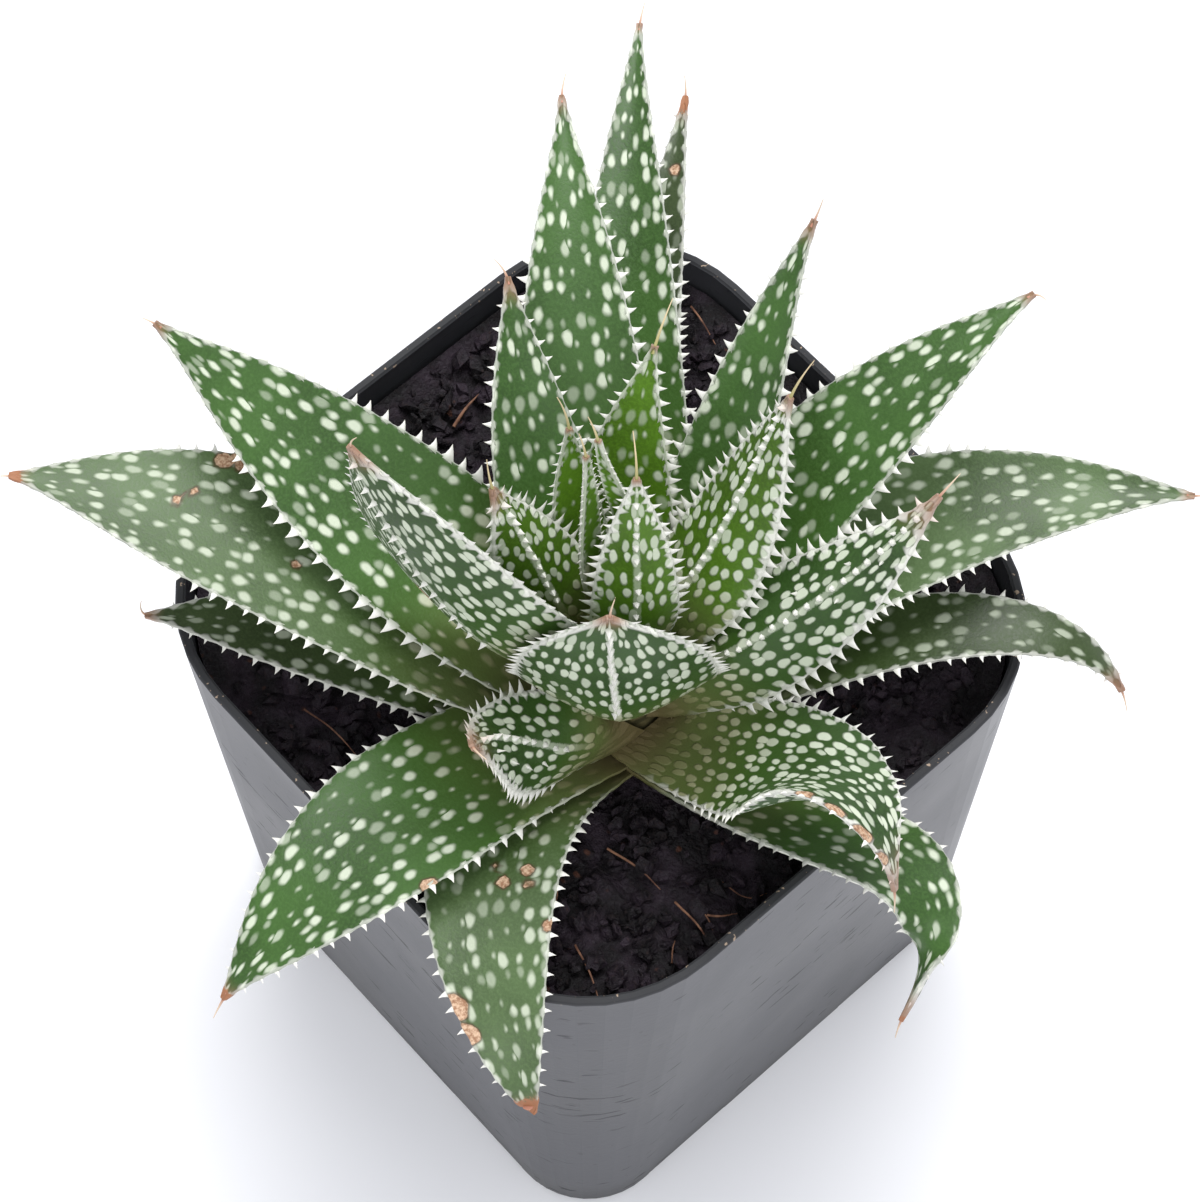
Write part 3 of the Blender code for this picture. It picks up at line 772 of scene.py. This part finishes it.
def pot_plastic():
    """Charcoal plastic: satin, with soft clouds, fine dark scuffs along the sides, dust near the rim, and
    painted shade at the foot and on the top of the rim.
    """
    shader = Shader("pot_plastic", IOR=1.5)
    place = shader.place()
    tone = colours().pot
    cloud = shader.noise(place, 26.0, 3.0)
    streak = shader.noise(shader.stretched(place, (1.0, 1.0, 0.12)), 55.0, 2.0)
    tint = shader.smooth(cloud * 0.6 + streak * 0.4, 0.3, 0.7)
    colour = shader.blend(tint, times(tone, 0.62), times(tone, 1.42))
    dashes = shader.noise(shader.stretched(place, (0.22, 0.22, 1.0)), 900.0, 1.0, 0.4)
    patches = shader.smooth(shader.noise(place, 60.0, 2.0), 0.42, 0.58)
    dark = shader.smooth(dashes, 0.66, 0.72) * patches
    specks = shader.smooth(shader.noise(place, 620.0, 1.0), 0.7, 0.75)
    colour = shader.blend((dark * 0.5).larger(specks * 0.55), colour, times(tone, 0.25))

    # Painted shade, dark at the foot and on the top of the rim, with pale dust just under the rim.
    height = shader.node("SeparateXYZ", None, {0: place}, out="Z")
    dust = shader.smooth(shader.noise(place, 1500.0, 1.0), 0.7, 0.74) * shader.smooth(height, 0.094, 0.0949)
    # low and rim mask the painted shade at the foot and on the rim's top.
    low = shader.smooth(height + (cloud - 0.5) * 0.008, 0.001, 0.009, 1.0, 0.0)
    rim = shader.smooth(height, 0.0946, 0.0949)
    colour = shader.blend((low * 0.75).larger(rim * 0.8), colour, times(tone, 0.3))
    colour = shader.blend(dust * 0.8, colour, (0.4, 0.3, 0.22))
    rough = shader.smooth(cloud, 0.3, 0.7, 0.36, 0.48) + dark * 0.2 + rim * 0.35
    relief = shader.noise(place, 1100.0, 2.0) * 0.4 + cloud - dark * 0.8
    return shader.finish(colour, rough, relief, 0.00006)


def bark_skin(name, dry):
    """Damp bark: near black with brown and purple parts, and this colour where it is dry."""
    shader = Shader(name, IOR=1.4, Specular_IOR_Level=0.45)
    tone = colours().bark
    place = shader.place()
    cloud = shader.noise(place, 240.0, 3.0)
    fine = shader.noise(place, 1700.0, 3.0, 0.6)
    colour = shader.blend(shader.smooth(cloud, 0.35, 0.7), times(tone, 0.3), times(tone, 2.4))
    colour = shader.blend(shader.smooth(fine, 0.5, 0.8) * 0.5, colour, dry)
    rust = shader.smooth(shader.noise(place, 420.0, 1.0), 0.7, 0.78)
    colour = shader.blend(rust * 0.6, colour, (0.1, 0.035, 0.018))
    return shader.finish(colour, shader.smooth(fine, 0.3, 0.7, 0.5, 0.85), fine + cloud, 0.0005)


def fibre_skin():
    """Root fibres: brown to straw."""
    shader = Shader("root_fibre", IOR=1.45)
    cloud = shader.noise(shader.place(), 500.0, 2.0)
    colour = shader.blend(shader.smooth(cloud, 0.3, 0.7), (0.09, 0.035, 0.02), (0.3, 0.15, 0.09))
    return shader.finish(colour, shader.smooth(cloud, 0.3, 0.7, 0.6, 0.8), cloud, 0.0001)


def stem_skin():
    """The stem: brown, in rings."""
    shader = Shader("stem_skin", IOR=1.45)
    rings = shader.noise(shader.stretched(shader.place(), (1.0, 1.0, 6.0)), 160.0, 3.0)
    colour = shader.blend(shader.smooth(rings, 0.3, 0.7), (0.05, 0.045, 0.02), (0.13, 0.11, 0.045))
    return shader.finish(colour, shader.smooth(rings, 0.3, 0.7, 0.5, 0.75), rings, 0.0003)


def floor_paint():
    """Plain pale paint."""
    shader = Shader("floor_paint", IOR=1.45)
    soft = shader.noise(shader.place(), 3.0, 1.0)
    colour = shader.blend(shader.smooth(soft, 0.2, 0.8), (0.86, 0.86, 0.88), (0.88, 0.88, 0.9))
    return shader.finish(colour, 0.6)


def stem_radius(height):
    return mix(STEM_RADIUS, STEM_TOP_RADIUS, min(max(height / STEM_RISE, 0.0), 1.0))


def stem_slope():
    """The pitch of a line square to the stem's side."""
    return math.degrees(math.atan2(STEM_RADIUS - STEM_TOP_RADIUS, STEM_RISE))


def leaf_line(leaf, share):
    """The place and direction of the leaf's middle, this share of the way from the stem to the tip."""
    heading, height = leaf.base
    first = ray(heading, 0) * (stem_radius(height) + STAND_OFF) + (0, 0, height)
    last = ray(leaf.tip[0], 0) * leaf.tip[1] + (0, 0, leaf.tip[2])
    span = np.linalg.norm(last - first)
    second = first + ray(*leaf.start) * span * leaf.bow
    third = last - ray(*leaf.end) * span * leaf.tip_bow
    left = 1 - share
    place = left**3 * first + 3 * left**2 * share * second + 3 * left * share**2 * third + share**3 * last
    along = left**2 * (second - first) + 2 * left * share * (third - second) + share**2 * (last - third)
    # Near the root it turns square to the stem's side, so that the root lies flat on it.
    along = mix(ray(heading, stem_slope()), unit(along), ease(share / SETTLE))
    return place, unit(along)


def half_width(leaf, share):
    if share < leaf.widest:
        return leaf.width / 2 * mix(leaf.foot, 1.0, ease(share / leaf.widest))
    past = (share - leaf.widest) / (1 - leaf.widest)
    fullness = (1 - past**leaf.taper) * (1 - TIP_PINCH * past**TIP_PINCH_POWER)
    return mix(leaf.tip_width / 2, leaf.width / 2, fullness)


def depth(leaf, share):
    """From the middle of the upper face to the keel."""
    root = mix(ROOT_DEPTH, 1.0, ease(share / ROOT_SHARE))
    return TIP_DEPTH + (leaf.thick - TIP_DEPTH) * root * (1 - share**DEPTH_FALL)


def leaf_frame(leaf, share, along):
    """The leaf's sideways and upward directions."""
    facing = ray(*leaf.face) if leaf.face else np.array([0, 0, 1]) - INWARD * ray(leaf.base[0], 0)
    if leaf.face_tip:
        facing = mix(facing, ray(*leaf.face_tip), share)
    up = unit(facing - along * (facing @ along))
    return np.cross(along, up), up


def section(leaf, share, across, upper, wave):
    """The point this far across the leaf, from -1 to 1, on its upper face or its back.

    The edge stands out by a little where wave is 1, under a tooth.
    """
    place, along = leaf_line(leaf, share)
    side, up = leaf_frame(leaf, share, along)
    half = half_width(leaf, share)
    dip = leaf.channel * ease(share / CHANNEL_SHARE) * (1 - share) ** CHANNEL_FALL
    lip = EDGE * min(1.0, math.sqrt(max(1 - across * across, 0.0)) / EDGE_SHARE) ** EDGE_ROUNDING
    if upper:
        height = lip - dip * (1 - across * across)
    else:
        belly = 1 - abs(across) ** (KEELED_BELLY if leaf.keel else ROUND_BELLY)
        height = -lip + (EDGE - dip - depth(leaf, share) + EDGE) * belly
    flare = TOOTH_FLARE * wave * abs(across) ** FLARE_POWER
    point = place + side * (across * half + math.copysign(flare, across)) + up * height
    wrap = (1 - ease(share / CLASP_SHARE)) * (across * half) ** 2 / (2 * CLASP_RADIUS)
    return point - ray(leaf.base[0], 0) * wrap


def length_table(leaf):
    """How far along the leaf each share is, in millimetres."""
    line = np.array([leaf_line(leaf, step / LINE_STEPS)[0] for step in range(LINE_STEPS + 1)])
    ends = np.linalg.norm(np.diff(line, axis=0), axis=1)
    return np.linspace(0, 1, LINE_STEPS + 1), np.concatenate([[0], np.cumsum(ends)])


def tooth_wave(leaf, distance):
    """1 at each tooth and 0 half way between two."""
    return 0.5 + 0.5 * math.cos(math.tau * distance / leaf.gap)


def tip_values(leaf, left):
    """How pink and how dry the leaf is this far from its tip."""
    pink = np.clip(1 - left / (leaf.pink * PINK_FADE), 0, 1)
    return pink, np.clip(1 - left / (leaf.dry * DRY_FADE + 0.01), 0, 1) * (leaf.dry > 0)


def make_blade(leaf):
    """The fleshy body: a tube whose rings are set across the leaf's line."""
    shares, lengths = length_table(leaf)
    whole = lengths[-1]
    rings = min(MOST_RINGS, max(FEWEST_RINGS, int(whole / RING_STEP)))
    obj = tube("blade_" + leaf.name, SIDES, rings)
    step, ring = places_on(obj, SIDES, rings)
    share = ring / rings
    angle = step * math.tau / SIDES
    across = np.where(step < 0, 0.0, -np.cos(angle))
    upper = np.sin(angle) >= -1e-9
    distance = np.interp(share, shares, lengths)
    wave = [tooth_wave(leaf, value) for value in distance]
    points = []
    for index, value in enumerate(share):
        if step[index] < 0:
            high = section(leaf, value, 0.0, True, 0.0)
            low = section(leaf, value, 0.0, False, 0.0)
            points.append((high + low) / 2)
        else:
            points.append(section(leaf, value, across[index], upper[index], wave[index]))
    put_points(obj, to_frame(points))

    half = np.array([half_width(leaf, value) for value in share])
    scar = np.full(len(share), -1.0)
    for where, place, radius in leaf.scars:
        away = np.hypot(distance - where * whole, (across - place) * half)
        scar = np.maximum(scar, np.where(upper == (radius > 0), abs(radius) - away, -1.0))
    pink, dry = tip_values(leaf, whole - distance)
    keel = np.where(upper, 0.0, leaf.keel) * np.clip(share / KEEL_START - 1, 0, 1)
    add_values(obj, share=share, rim=half * (1 - np.abs(across)), tooth=wave, pink=pink, dry=dry,
               scar=np.clip(scar, -1, 1), up_tooth=np.zeros(len(share)), keel=keel)

    layer = obj.data.uv_layers.active
    layer.name = "leaf"
    corner = np.empty(len(obj.data.loops), int)
    obj.data.loops.foreach_get("vertex_index", corner)
    # The rows of spots draw together towards the tip, though less than the edges do.
    flat = np.stack([(across * np.sqrt(half * leaf.width / 2))[corner], distance[corner]], 1)
    layer.data.foreach_set("uv", flat.astype(np.float32).ravel())
    rise = np.sin(angle)
    for face in obj.data.polygons:
        face.material_index = 0 if sum(rise[index] for index in face.vertices) > 0 else 1
    face_outwards(obj)
    return obj, whole


def tooth_pattern():
    """One hooked tooth along +X with its foot at the origin, modelled once: its points and faces."""
    bpy.ops.mesh.primitive_cone_add(vertices=6, radius1=0.5, radius2=0.0, depth=1, end_fill_type="NGON")
    obj = bpy.context.active_object
    cut_middle(obj, 2)
    points, faces = take_shape(obj)
    rise = points[:, 2] + 0.5
    thin = 1 - TOOTH_WAIST * np.sin(rise * math.pi)
    return np.stack([rise, points[:, 1] * thin + TOOTH_HOOK * rise**2, points[:, 0] * thin], 1), faces


def set_teeth(leaf, whole, pattern, rng):
    """Every tooth of the two edges, the beads of the keel and the lone spines, as one mesh."""
    shape, faces = pattern
    points, polygons, values = [], [], []
    shares_at, lengths = length_table(leaf)

    def share_at(distance):
        return float(np.interp(distance, lengths, shares_at))

    def frame_at(share):
        return leaf_frame(leaf, share, leaf_line(leaf, share)[1])

    def add(share, across, outward, size, broad, thick, sunk):
        """A tooth that grows outwards here, from under the skin."""
        along = leaf_line(leaf, share)[1]
        outward = unit(outward)
        lengthwise = unit(along - outward * (along @ outward))
        cross = np.cross(outward, lengthwise)
        foot = section(leaf, share, across, across in (-1.0, 1.0), 0.0) - outward * sunk
        first = len(points)
        pink, dry = tip_values(leaf, whole * (1 - share))
        for x, y, z in shape:
            points.append(foot + outward * x * size + lengthwise * y * broad + cross * z * thick)
            values.append((x, pink, dry, share))
        polygons.extend(tuple(first + corner for corner in face) for face in faces)

    for sign in (-1.0, 1.0):
        for count in range(1, int(whole / leaf.gap)):
            share = share_at(count * leaf.gap + rng.uniform(-TOOTH_STRAY, TOOTH_STRAY) * leaf.gap)
            if not BARE_ROOT < share < LAST_TOOTH:
                continue
            side, turn = frame_at(share)
            grown = min(1.0, (share - BARE_ROOT) / TOOTH_GROWTH) * mix(1.0, TIP_TOOTH, share**2)
            size = leaf.tooth * (grown * rng.uniform(*TOOTH_SIZES)) * sizes().tooth_scale
            outward = side * sign + turn * rng.uniform(*TOOTH_TILTS)
            add(share, sign, outward, size + TOOTH_SUNK, size * TOOTH_BREADTH,
                TOOTH_THICKNESS * mix(1.0, TIP_TOOTH_THICKNESS, share), TOOTH_SUNK)
    if leaf.keel:
        gap = mix(*BEAD_GAPS, leaf.keel)
        for count in range(1, int(whole / gap)):
            share = share_at(count * gap + rng.uniform(-BEAD_STRAY, BEAD_STRAY))
            if not BEAD_RANGE[0] < share < BEAD_RANGE[1]:
                continue
            size = rng.uniform(*BEAD_SIZES) * mix(ROOT_BEAD, 1.0, share)
            add(share, rng.uniform(-BEAD_SHIFT, BEAD_SHIFT), -frame_at(share)[1], size + BEAD_ROOT,
                mix(*BEAD_BREADTHS, leaf.keel), BEAD_THICKNESS, BEAD_SUNK)
    for share, across in leaf.spines:
        side, turn = frame_at(share)
        add(share, across, side * across * SPINE_LEAN - turn, *SPINE)
    obj = add_copies("teeth", to_frame(points), polygons)
    add_values(obj, **dict(zip(("up_tooth", "pink", "dry", "share"), np.transpose(values))))
    use_material(obj, 2)
    return obj


def make_awn(leaf):
    """The fine bristle that the leaf ends in."""
    last, along = leaf_line(leaf, 1.0)
    turn = ray(*leaf.curl) if leaf.curl else along
    half = (leaf.awn + AWN_ROOT) / 2
    first = last - along * AWN_ROOT
    second = first + along * half
    third = second + unit(along * AWN_STRAIGHT + turn) * half
    obj = tube("awn", AWN_SIDES, AWN_RINGS)
    step, ring = places_on(obj, AWN_SIDES, AWN_RINGS)
    share = ring / AWN_RINGS
    foot = max(AWN_FOOT, leaf.tip_width / 2 * AWN_FOOT_SHARE)
    points = []
    for index, value in enumerate(share):
        left = 1 - value
        place = left * left * first + 2 * left * value * second + value * value * third
        way = unit(left * (second - first) + value * (third - second))
        side = unit(np.cross(way, NO_AWN_WAY))
        other = np.cross(way, side)
        radius = mix(foot, AWN_POINT, value**AWN_TAPER) if step[index] >= 0 else 0.0
        angle = step[index] * math.tau / AWN_SIDES
        points.append(place + (side * math.cos(angle) + other * math.sin(angle)) * radius)
    put_points(obj, to_frame(points))
    add_values(obj, up_tooth=share, share=np.ones(len(share)),
               pink=np.full(len(share), YOUNG_AWN_PINK if leaf.skin == "young" else 1.0))
    obj.data.uv_layers.active.name = "leaf"
    use_material(obj, 3)
    face_outwards(obj)
    return obj


def make_leaf(leaf, skins, pattern):
    """A leaf from its blade, teeth and bristle. Its materials are numbered as they stand in ready."""
    blade, whole = make_blade(leaf)
    pieces = [blade, set_teeth(leaf, whole, pattern, random.Random("aloe " + leaf.name)), make_awn(leaf)]
    numbers = np.concatenate([material_numbers(piece) for piece in pieces])
    whole_leaf = join(pieces)
    upper = skins[leaf.skin, BACK if leaf.dense else UPPER]
    ready(whole_leaf, "leaf_" + leaf.skin, upper, skins[leaf.skin, BACK], skins["horn"], skins["awn"])
    whole_leaf.data.polygons.foreach_set("material_index", numbers)
    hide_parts("leaf_" + leaf.name)


def leaf_skins():
    skins = {"horn": leaf_horn(), "awn": leaf_awn()}
    for skin in SPOT_STRENGTH:
        for side in (UPPER, BACK):
            skins[skin, side] = leaf_skin(skin, side)
    return skins


class ALOE_OT_leaves(bpy.types.Operator):
    """Makes every leaf with its teeth, keel, bristle, spots and scars"""

    bl_idname = "aloe.leaves"
    bl_label = "Leaves"

    def execute(self, context):
        start_clear()
        skins = leaf_skins()
        pattern = tooth_pattern()
        for leaf in LEAVES:
            make_leaf(leaf, skins, pattern)
        return {"FINISHED"}


class ALOE_OT_pot(bpy.types.Operator):
    """Gives the pot and the stem their finish"""

    bl_idname = "aloe.pot"
    bl_label = "Pot and stem"

    def execute(self, context):
        start_clear()
        dress(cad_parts["pot"], pot_plastic())
        dress(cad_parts["stem"], stem_skin())
        return {"FINISHED"}


def crumb_pattern(seed):
    """One chip of bark, modelled once: its points about the origin and its faces."""
    rng = random.Random(seed)
    bpy.ops.mesh.primitive_ico_sphere_add(subdivisions=1, radius=0.5)
    obj = bpy.context.active_object
    if seed % 2:
        bpy.ops.object.mode_set(mode="EDIT")
        bpy.ops.mesh.subdivide(number_cuts=1, fractal=CRUMB_CRAG, seed=seed)
        bpy.ops.object.mode_set(mode="OBJECT")
    points, faces = take_shape(obj)
    points = points * (1.0, rng.uniform(*CRUMB_BREADTHS), rng.uniform(*CRUMB_THICKNESSES))
    knocks = [[rng.uniform(-CRUMB_KNOCK, CRUMB_KNOCK) for _ in range(3)] for _ in points]
    return points + np.array(knocks), faces


def soil_height(x, y):
    """The bark's height here, which rises towards the two far walls."""
    near = RIM_WIDTH / 2 + min(x, -y)
    return SOIL_TOP + SOIL_HEAP * (1 - ease(near / HEAP_WIDTH))


def inside_pot(x, y, clear):
    """True if the point is this far inside the pot's wall at the bark's height."""
    straight = RIM_WIDTH / 2 - WALL - WALL_GAP - RIM_CORNER
    return math.hypot(max(abs(x) - straight, 0), max(abs(y) - straight, 0)) < RIM_CORNER - clear


class ALOE_OT_bark(bpy.types.Operator):
    """Covers the soil with crumbs of bark"""

    bl_idname = "aloe.bark"
    bl_label = "Bark"

    def execute(self, context):
        start_clear()
        dress(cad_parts["soil"], bark_skin("soil_bark", (0.03, 0.02, 0.02)))
        rng = random.Random(CRUMB_SEED)
        patterns = [crumb_pattern(seed) for seed in range(CRUMB_SHAPES)]
        size = sizes().crumb_size / MM
        points, polygons = [], []
        made = 0
        while made < sizes().crumb_count:
            x, y = rng.uniform(-CRUMB_FIELD, CRUMB_FIELD), rng.uniform(-CRUMB_FIELD, CRUMB_FIELD)
            long = size * rng.uniform(*CRUMB_LENGTHS)
            if not inside_pot(x, y, long / 2) or math.hypot(x - PLANT_X, y - PLANT_Y) < BARE_RADIUS:
                continue
            shape, faces = patterns[rng.randrange(CRUMB_SHAPES)]
            turn = Matrix.Rotation(rng.uniform(0, math.tau), 3, "Z")
            turn = turn @ Matrix.Rotation(rng.gauss(0, CRUMB_ROLL), 3, "X")
            turn = turn @ Matrix.Rotation(rng.gauss(0, CRUMB_PITCH), 3, "Y")
            centre = np.array([x, y, soil_height(x, y) + rng.uniform(*CRUMB_HEIGHTS)])
            first = len(points)
            points.extend((shape * long @ np.array(turn).T + centre) * MM)
            polygons.extend(tuple(first + corner for corner in face) for face in faces)
            made += 1
        obj = add_copies("bark_crumbs", points, polygons)
        ready(obj, "soil_bark", bark_skin("bark_crumb", (0.05, 0.032, 0.03)))
        return {"FINISHED"}


class ALOE_OT_fibres(bpy.types.Operator):
    """Lays the fine root fibres and twigs on the bark"""

    bl_idname = "aloe.fibres"
    bl_label = "Root fibres"

    def execute(self, context):
        start_clear()
        pieces = []
        for radius, points in FIBRES:
            spots = [Vector(point) for point in to_frame(points)]
            for spot in spots:
                spot.z += (soil_height(spot.x / MM, spot.y / MM) - CROWN_FOOT) * MM
            bpy.ops.curve.primitive_bezier_curve_add()
            curve = bpy.context.active_object
            curve.data.dimensions = "3D"
            line = curve.data.splines[0]
            line.bezier_points.add(len(spots) - 2)
            for point, spot, thin in zip(line.bezier_points, spots, FIBRE_THINNING):
                point.co = spot
                point.handle_left_type = point.handle_right_type = "AUTO"
                point.radius = thin
            curve.data.bevel_depth = radius * MM / 2
            curve.data.bevel_resolution = FIBRE_ROUNDNESS
            curve.data.resolution_u = FIBRE_STEPS
            curve.data.use_fill_caps = True
            select_only(curve)
            bpy.ops.object.convert(target="MESH")
            pieces.append(bpy.context.active_object)
        whole = join(pieces)
        whole.name = whole.data.name = "root_fibres"
        face_outwards(whole, SAME_PLACE)
        ready(whole, "soil_bark", fibre_skin())
        return {"FINISHED"}


def aim_camera():
    """The camera at the photograph's place."""
    heading, pitch = math.radians(CAMERA_HEADING), math.radians(CAMERA_PITCH)
    roll = math.radians(CAMERA_ROLL)
    level = math.cos(pitch)
    back = Vector((math.sin(heading) * level, -math.cos(heading) * level, math.sin(pitch)))
    right = Vector((math.cos(heading), math.sin(heading), 0))
    up = back.cross(right)
    turned_right = right * math.cos(roll) + up * math.sin(roll)
    turned_up = up * math.cos(roll) - right * math.sin(roll)
    data = bpy.data.cameras.new("camera")
    data.sensor_width = SENSOR
    data.lens = FOCAL_PIXELS / LONG_SIDE * SENSOR
    data.clip_start = CLIP_START
    turn = Matrix((turned_right, turned_up, back)).transposed().to_4x4()
    place = Vector((0, 0, POT_HEIGHT * MM)) + back * sizes().camera_distance
    camera = add_object("camera", data)
    camera.matrix_world = Matrix.Translation(place) @ turn
    bpy.context.scene.camera = camera


def soft_light(name, place, width, power):
    """A round lamp that faces the plant."""
    data = bpy.data.lights.new(name, "AREA")
    data.shape = "DISK"
    data.size = width
    data.energy = power
    light = add_object(name, data)
    light.location = place
    light.rotation_mode = "QUATERNION"
    light.rotation_quaternion = (Vector(place) - Vector(LIT_PLACE)).to_track_quat("Z", "Y")


class ALOE_OT_stage(bpy.types.Operator):
    """Makes the pale floor, the soft light and the camera"""

    bl_idname = "aloe.stage"
    bl_label = "Stage"

    def execute(self, context):
        start_clear()
        bpy.ops.mesh.primitive_plane_add(size=FLOOR_SIDE, location=(0, 0, -FLOOR_DROP))
        floor = bpy.context.active_object
        floor.name = floor.data.name = "floor"
        bpy.ops.object.transform_apply(location=True)
        floor.data.materials.append(floor_paint())
        floor.select_set(False)
        world = bpy.data.worlds.new("studio")
        world.use_nodes = True
        sky = world.node_tree.nodes["Background"]
        sky.inputs["Color"].default_value = SKY_COLOUR
        sky.inputs["Strength"].default_value = SKY_STRENGTH
        context.scene.world = world
        for light in LIGHTS:
            soft_light(*light)
        context.scene.view_settings.view_transform = "Standard"
        aim_camera()
        return {"FINISHED"}


class ALOE_PT_panel(bpy.types.Panel):
    """The steps in order, and the sizes and colours"""

    bl_label = "Potted aloe"
    bl_idname = "ALOE_PT_panel"
    bl_space_type = "VIEW_3D"
    bl_region_type = "UI"
    bl_category = "Aloe"

    def draw(self, context):
        for step in STEPS:
            self.layout.operator(step.bl_idname)
        for group in (context.scene.aloe_sizes, context.scene.aloe_colours):
            for name in group.__annotations__:
                self.layout.prop(group, name)


STEPS = (ALOE_OT_pot, ALOE_OT_bark, ALOE_OT_fibres, ALOE_OT_leaves, ALOE_OT_stage)
CLASSES = (AloeSizes, AloeColours, *STEPS, ALOE_PT_panel)


def register():
    for kind in CLASSES:
        bpy.utils.register_class(kind)
    bpy.types.Scene.aloe_sizes = bpy.props.PointerProperty(type=AloeSizes)
    bpy.types.Scene.aloe_colours = bpy.props.PointerProperty(type=AloeColours)


def unregister():
    del bpy.types.Scene.aloe_sizes
    del bpy.types.Scene.aloe_colours
    for kind in reversed(CLASSES):
        bpy.utils.unregister_class(kind)


def main():
    register()
    bpy.ops.aloe.pot()
    bpy.ops.aloe.bark()
    bpy.ops.aloe.fibres()
    bpy.ops.aloe.leaves()
    bpy.ops.aloe.stage()


if __name__ == "__main__":
    main()
